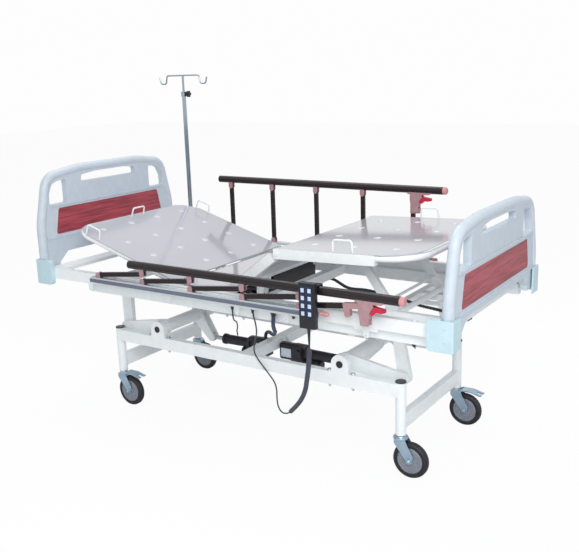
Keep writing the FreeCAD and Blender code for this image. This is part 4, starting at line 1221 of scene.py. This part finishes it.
def curve(name: str, places: Sequence[Vector], resolution: int) -> Piece:
    """A smooth curve that starts and ends at the first and last of some places.

    Args:
        name: The curve's name.
        places: The places that it follows.
        resolution: Points between two places.

    Returns:
        The curve, with no thickness.
    """
    data = bpy.data.curves.new(name, "CURVE")
    data.dimensions = "3D"
    data.resolution_u = resolution
    spline = data.splines.new("NURBS")
    spline.points.add(len(places) - 1)
    for point, place in zip(spline.points, places):
        point.co = (*place, 1.0)
    spline.order_u = 3
    spline.use_endpoint_u = True
    made = bpy.data.objects.new(name, data)
    bpy.context.scene.collection.objects.link(made)
    return made


def points_of(line: Piece) -> list[Vector]:
    """The points of a curve as it is drawn.

    Args:
        line: The curve, with no thickness.

    Returns:
        Its points, in order.
    """
    bpy.context.view_layer.update()
    mesh = bpy.data.meshes.new_from_object(line.evaluated_get(bpy.context.evaluated_depsgraph_get()))
    points = [vertex.co.copy() for vertex in mesh.vertices]
    bpy.data.meshes.remove(mesh)
    return points


def length_of(points: Sequence[Vector]) -> float:
    """Length of a line through points, in metres."""
    return sum((b - a).length for a, b in zip(points, points[1:]))


@dataclass
class Cord:
    """A cord along a smooth route through the points of its solid."""

    name: str
    route: Sequence[Point]
    radius_mm: float
    finish: Finish
    body: str = "upper_frame"
    far_end: str = "object"
    stiffness: str = "medium"
    lay: str = "hanging"

    def line(self) -> Piece:
        """The cord's centre line, as a curve with no thickness."""
        return curve(self.name + "_cord", [at(*place) for place in self.route], 16)

    def thicken(self, cord: Piece, radius_mm: float, facets: int) -> None:
        """Makes a round tube of a curve and gives it the cord's finish.

        Args:
            cord: The curve.
            radius_mm: The tube's radius.
            facets: How finely its round is drawn.
        """
        cord.data.bevel_depth = radius_mm / 1000.0
        cord.data.bevel_resolution = facets
        cord.data.use_fill_caps = True
        cord.data.materials.append(self.finish.build())

    def declare(self, cord: Piece, length: float, radius_mm: float) -> None:
        """Rides the cord on its body, hides its solid and logs its length.

        Args:
            cord: The finished cord.
            length: Its length.
            radius_mm: Its radius. It is not used.
        """
        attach(cord, self.body)
        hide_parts(self.name)
        LOG.info("cord %s: %.2f m", cord.name, length)

    def build(self) -> Piece:
        """Returns:
            The finished cord.
        """
        cord = self.line()
        length = length_of(points_of(cord))
        self.thicken(cord, self.radius_mm, 4)
        self.declare(cord, length, self.radius_mm)
        return cord


@dataclass
class CurlyCord(Cord):
    """A cord wound into a close helix around its route. Its radius_mm is that of the turns, outside."""

    wire_mm: float = 2.4
    pitch_mm: float = 6.0
    per_turn: int = 12
    plain_mm: float = 0.0

    def build(self) -> Piece:
        """Winds the helix along the smooth route and makes its tube.

        Returns:
            The finished cord.
        """
        route = self.line()
        points = points_of(route)
        bpy.data.objects.remove(route)
        helix = self.wind(points)
        cord = curve(self.name + "_helix", helix, 2)
        self.thicken(cord, self.wire_mm, 2)
        self.declare(cord, length_of(helix), self.wire_mm)
        return cord

    def wind(self, points: list[Vector]) -> list[Vector]:
        """Points of the helix around a line.

        The turns open out after the plain start and close again at the end.

        Args:
            points: The points of the line.

        Returns:
            The points of the helix, from the line's start to its end.
        """
        total = length_of(points)
        pitch, plain = self.pitch_mm / 1000.0, self.plain_mm / 1000.0
        count = int(total / pitch * self.per_turn)
        reach = (self.radius_mm - self.wire_mm) / 1000.0
        side = (points[1] - points[0]).orthogonal().normalized()
        helix = []
        index, gone, walked = 0, 0.0, (points[1] - points[0]).length
        for step in range(count + 1):
            want = total * step / count
            while want > walked and index < len(points) - 2:
                gone = walked
                index += 1
                walked += (points[index + 1] - points[index]).length
            run = points[index + 1] - points[index]
            along = run.normalized()
            side = (side - along * side.dot(along)).normalized()
            share = (want - gone) / max(run.length, 1e-9)
            centre = points[index].lerp(points[index + 1], min(1.0, max(0.0, share)))
            angle = 2.0 * math.pi * step / self.per_turn
            opening, closing = (want - plain) / (2.0 * pitch), (count - step) / self.per_turn
            ease = max(0.0, min(1.0, opening, closing))
            out = side * math.cos(angle) + along.cross(side) * math.sin(angle)
            helix.append(centre + out * reach * ease)
        return helix


HANDSET_COIL: list[Point] = [
    (500, -541, 571.7), (494, -538, 500), (473, -522, 430), (444, -490, 370), (399, -450, 309),
    (345, -410, 252), (290, -373, 202),
]
HANDSET_TAIL: list[Point] = [
    (289.8, -372.9, 201.8), (262, -354, 180), (226, -345, 174), (201, -335, 194), (192, -328, 228),
    (191, -324, 262), (181, -322, 295), (153, -321, 325), (121, -321, 358), (92, -321, 389),
    (80, -331, 424), (106, -352, 481), (142, -386, 528), (166, -420, 568), (174, -438, 602),
    (172, -446, 630), (171, -447, 656.7),
]
LIFT_LEAD: list[Point] = [
    (275, -449, 656.7), (274, -449, 628), (266, -442, 597), (244, -402, 564), (196, -330, 530),
    (138, -244, 494), (72, -160, 448), (14, -92, 420), (-34, -46, 411), (-68, -18, 398),
    (-84, -10, 378), (-84, -10, 353.3),
]
THIN_LEAD: list[Point] = [
    (67, -447, 656.7), (66, -445, 630), (60, -437, 602), (34, -396, 572), (-10, -328, 546),
    (-60, -256, 510), (-112, -186, 468), (-166, -120, 424), (-216, -60, 390), (-250, -14, 372),
    (-258, 0, 362), (-258, 0, 346),
]
MAINS_LEAD: list[Point] = [
    (-26.7, 345, 586), (10, 345, 586), (46, 344, 590), (86, 340.7, 594.2), (150, 300, 588),
    (216, 244, 588), (298, 170, 606), (390, 100, 632), (486, 44, 644), (568, 22, 638),
    (626, 25, 633), (678, 42, 613), (756, 50, 604), (836, 38, 598), (890, 12, 588), (925, 0, 593),
    (925, 0, 613.7),
]


@dataclass
class Cords:
    """All the cords and leads that show, with their grommets."""

    grommets: tuple[tuple[str, Point, Axis, Way, Profile], ...] = (
        ("tail_grommet", (171, -447, 656.8), Axis.Z, Way.BACK, THIN_GROMMET),
        ("lead_grommet", (275, -449, 656.8), Axis.Z, Way.BACK, WIDE_GROMMET),
        ("thin_grommet", (67, -447, 656.8), Axis.Z, Way.BACK, THIN_GROMMET),
        ("mains_grommet", (925, 0, 613.8), Axis.Z, Way.BACK, WIDE_GROMMET),
        ("mains_relief", (-27, 345, 586), Axis.X, Way.FORTH, STRAIN_RELIEF),
    )

    def build(self) -> None:
        """Makes each cord, then the grommets and reliefs where they enter a housing or a tube."""
        for cord in (
            CurlyCord("handset_coil", HANDSET_COIL, 10.0, CURLY_GREY, pitch_mm=5.2, wire_mm=2.4),
            Cord("handset_tail", HANDSET_TAIL, 3.1, DARK_SHEATH),
            CurlyCord("lift_lead", LIFT_LEAD, 8.5, LEAD_BLUE, pitch_mm=5.4, wire_mm=2.5),
            Cord("thin_lead", THIN_LEAD, 3.1, DARK_SHEATH),
            CurlyCord("mains_lead", MAINS_LEAD, 7.5, DARK_SHEATH, pitch_mm=6.4, wire_mm=2.9, plain_mm=70.0),
        ):
            cord.build()
        for name, place, axis, way, profile in self.grommets:
            finish(turn(name, at(*place), axis, way, profile), BLACK_TRIM, "upper_frame")


# Stage


@dataclass(frozen=True)
class Lamp:
    """A square lamp that faces a point."""

    name: str
    place: Point
    target: Point
    size: float
    watts: float

    def build(self) -> None:
        """Makes the lamp."""
        data = bpy.data.lights.new(self.name, "AREA")
        data.size = self.size
        data.energy = self.watts
        lamp = bpy.data.objects.new(self.name, data)
        bpy.context.scene.collection.objects.link(lamp)
        lamp.location = self.place
        facing = Vector(self.target) - Vector(self.place)
        lamp.rotation_euler = facing.to_track_quat("-Z", "Y").to_euler()


@dataclass
class Studio:
    """Floor, light and camera."""

    # The camera's place, and the directions that are right and up in its picture
    place: Point = (2.0892, -2.9904, 1.580)
    right: Point = (0.83501, 0.54937, -0.03106)
    up: Point = (-0.10757, 0.21836, 0.96992)
    lens: float = 50.53
    sensor: float = 36.0
    clip: Span = (0.05, 60.0)
    floor_size: float = 40.0
    floor_z: float = -0.0005
    floor_colour: str = "#F2F3F4"
    # Share of white that the camera adds to the lit floor, so that only a soft shadow stays on it
    floor_white: float = 0.94
    fill_colour: Colour = (0.97, 0.985, 1.0, 1.0)
    fill: float = 0.54
    backdrop: Colour = (0.985, 0.985, 0.985, 1.0)
    lamps: tuple[Lamp, ...] = (
        Lamp("key", (2.4, -3.0, 3.0), (0.1, 0.0, 0.6), 2.4, 112.0),
        Lamp("top", (-1.0, 1.2, 4.4), (0.0, 0.0, 0.6), 3.0, 60.0),
    )

    def camera(self) -> None:
        """Sets the camera at the photograph's angle."""
        data = bpy.data.cameras.new("camera")
        data.lens = self.lens
        data.sensor_width = self.sensor
        data.clip_start, data.clip_end = self.clip
        camera = bpy.data.objects.new("camera", data)
        bpy.context.scene.collection.objects.link(camera)
        right, up = Vector(self.right).normalized(), Vector(self.up)
        up = (up - right * up.dot(right)).normalized()
        facing = Matrix((right, up, right.cross(up))).transposed().to_4x4()
        camera.matrix_world = Matrix.Translation(self.place) @ facing
        bpy.context.scene.camera = camera

    def floor(self) -> None:
        """Makes the pale floor, which keeps a soft shadow."""
        bpy.ops.object.select_all(action="DESELECT")
        bpy.ops.mesh.primitive_plane_add(size=self.floor_size, location=(0.0, 0.0, self.floor_z))
        floor = bpy.context.active_object
        floor.name = "floor"
        made = bpy.data.materials.new("pale_floor")
        made.use_nodes = True
        tree = made.node_tree
        tree.nodes.clear()
        output = add_node(tree, "ShaderNodeOutputMaterial")
        path = add_node(tree, "ShaderNodeLightPath")
        diffuse = add_node(tree, "ShaderNodeBsdfDiffuse", {"Color": linear(self.floor_colour)})
        bright = add_node(tree, "ShaderNodeEmission", {"Color": (1.0, 1.0, 1.0, 1.0), "Strength": 1.0})
        seen = add_node(tree, "ShaderNodeMath", links={0: path.outputs["Is Camera Ray"]})
        seen.operation = "MULTIPLY"
        seen.inputs[1].default_value = self.floor_white
        parts = {0: seen.outputs[0], 1: diffuse.outputs[0], 2: bright.outputs[0]}
        mix = add_node(tree, "ShaderNodeMixShader", links=parts)
        tree.links.new(mix.outputs[0], output.inputs["Surface"])
        floor.data.materials.append(made)

    def world(self) -> None:
        """Sets the world: soft fill on the bed, and white where the camera or a mirror sees it."""
        world = bpy.data.worlds.new("studio")
        bpy.context.scene.world = world
        world.use_nodes = True
        tree = world.node_tree
        tree.nodes.clear()
        output = add_node(tree, "ShaderNodeOutputWorld")
        path = add_node(tree, "ShaderNodeLightPath")
        fill = add_node(tree, "ShaderNodeBackground", {"Color": self.fill_colour, "Strength": self.fill})
        white = add_node(tree, "ShaderNodeBackground", {"Color": self.backdrop, "Strength": 1.0})
        rays = {0: path.outputs["Is Camera Ray"], 1: path.outputs["Is Glossy Ray"]}
        seen = add_node(tree, "ShaderNodeMath", links=rays)
        seen.operation = "MAXIMUM"
        parts = {0: seen.outputs[0], 1: fill.outputs[0], 2: white.outputs[0]}
        mix = add_node(tree, "ShaderNodeMixShader", links=parts)
        tree.links.new(mix.outputs[0], output.inputs["Surface"])

    def build(self) -> None:
        """Builds the stage."""
        bpy.context.scene.view_settings.view_transform = "Standard"
        self.camera()
        self.floor()
        self.world()
        for lamp in self.lamps:
            lamp.build()


def main() -> None:
    """Builds the stage and the bed's looks, one sub-assembly after another."""
    logging.basicConfig(level=logging.INFO, format="%(message)s")
    bpy.ops.object.select_all(action="DESELECT")
    Studio().build()
    Cords().build()
    # The near rail hangs folded, with its upper pins this far above the lower ones
    folded_mm = 31.0
    folded = math.degrees(math.asin(folded_mm / SideRail.post_mm))
    for assembly in (
        Undercarriage(),
        Platform(),
        Boards(),
        Drives(),
        SideRail(Side.NEAR, tube_z=0.791, tube_end_mm=863.7, lean_degrees=folded),
        SideRail(Side.FAR, tube_z=1.032, tube_end_mm=592.0, lean_degrees=90.0),
        InfusionPole(),
    ):
        assembly.dress()
        assembly.build()


if __name__ == "__main__":
    main()
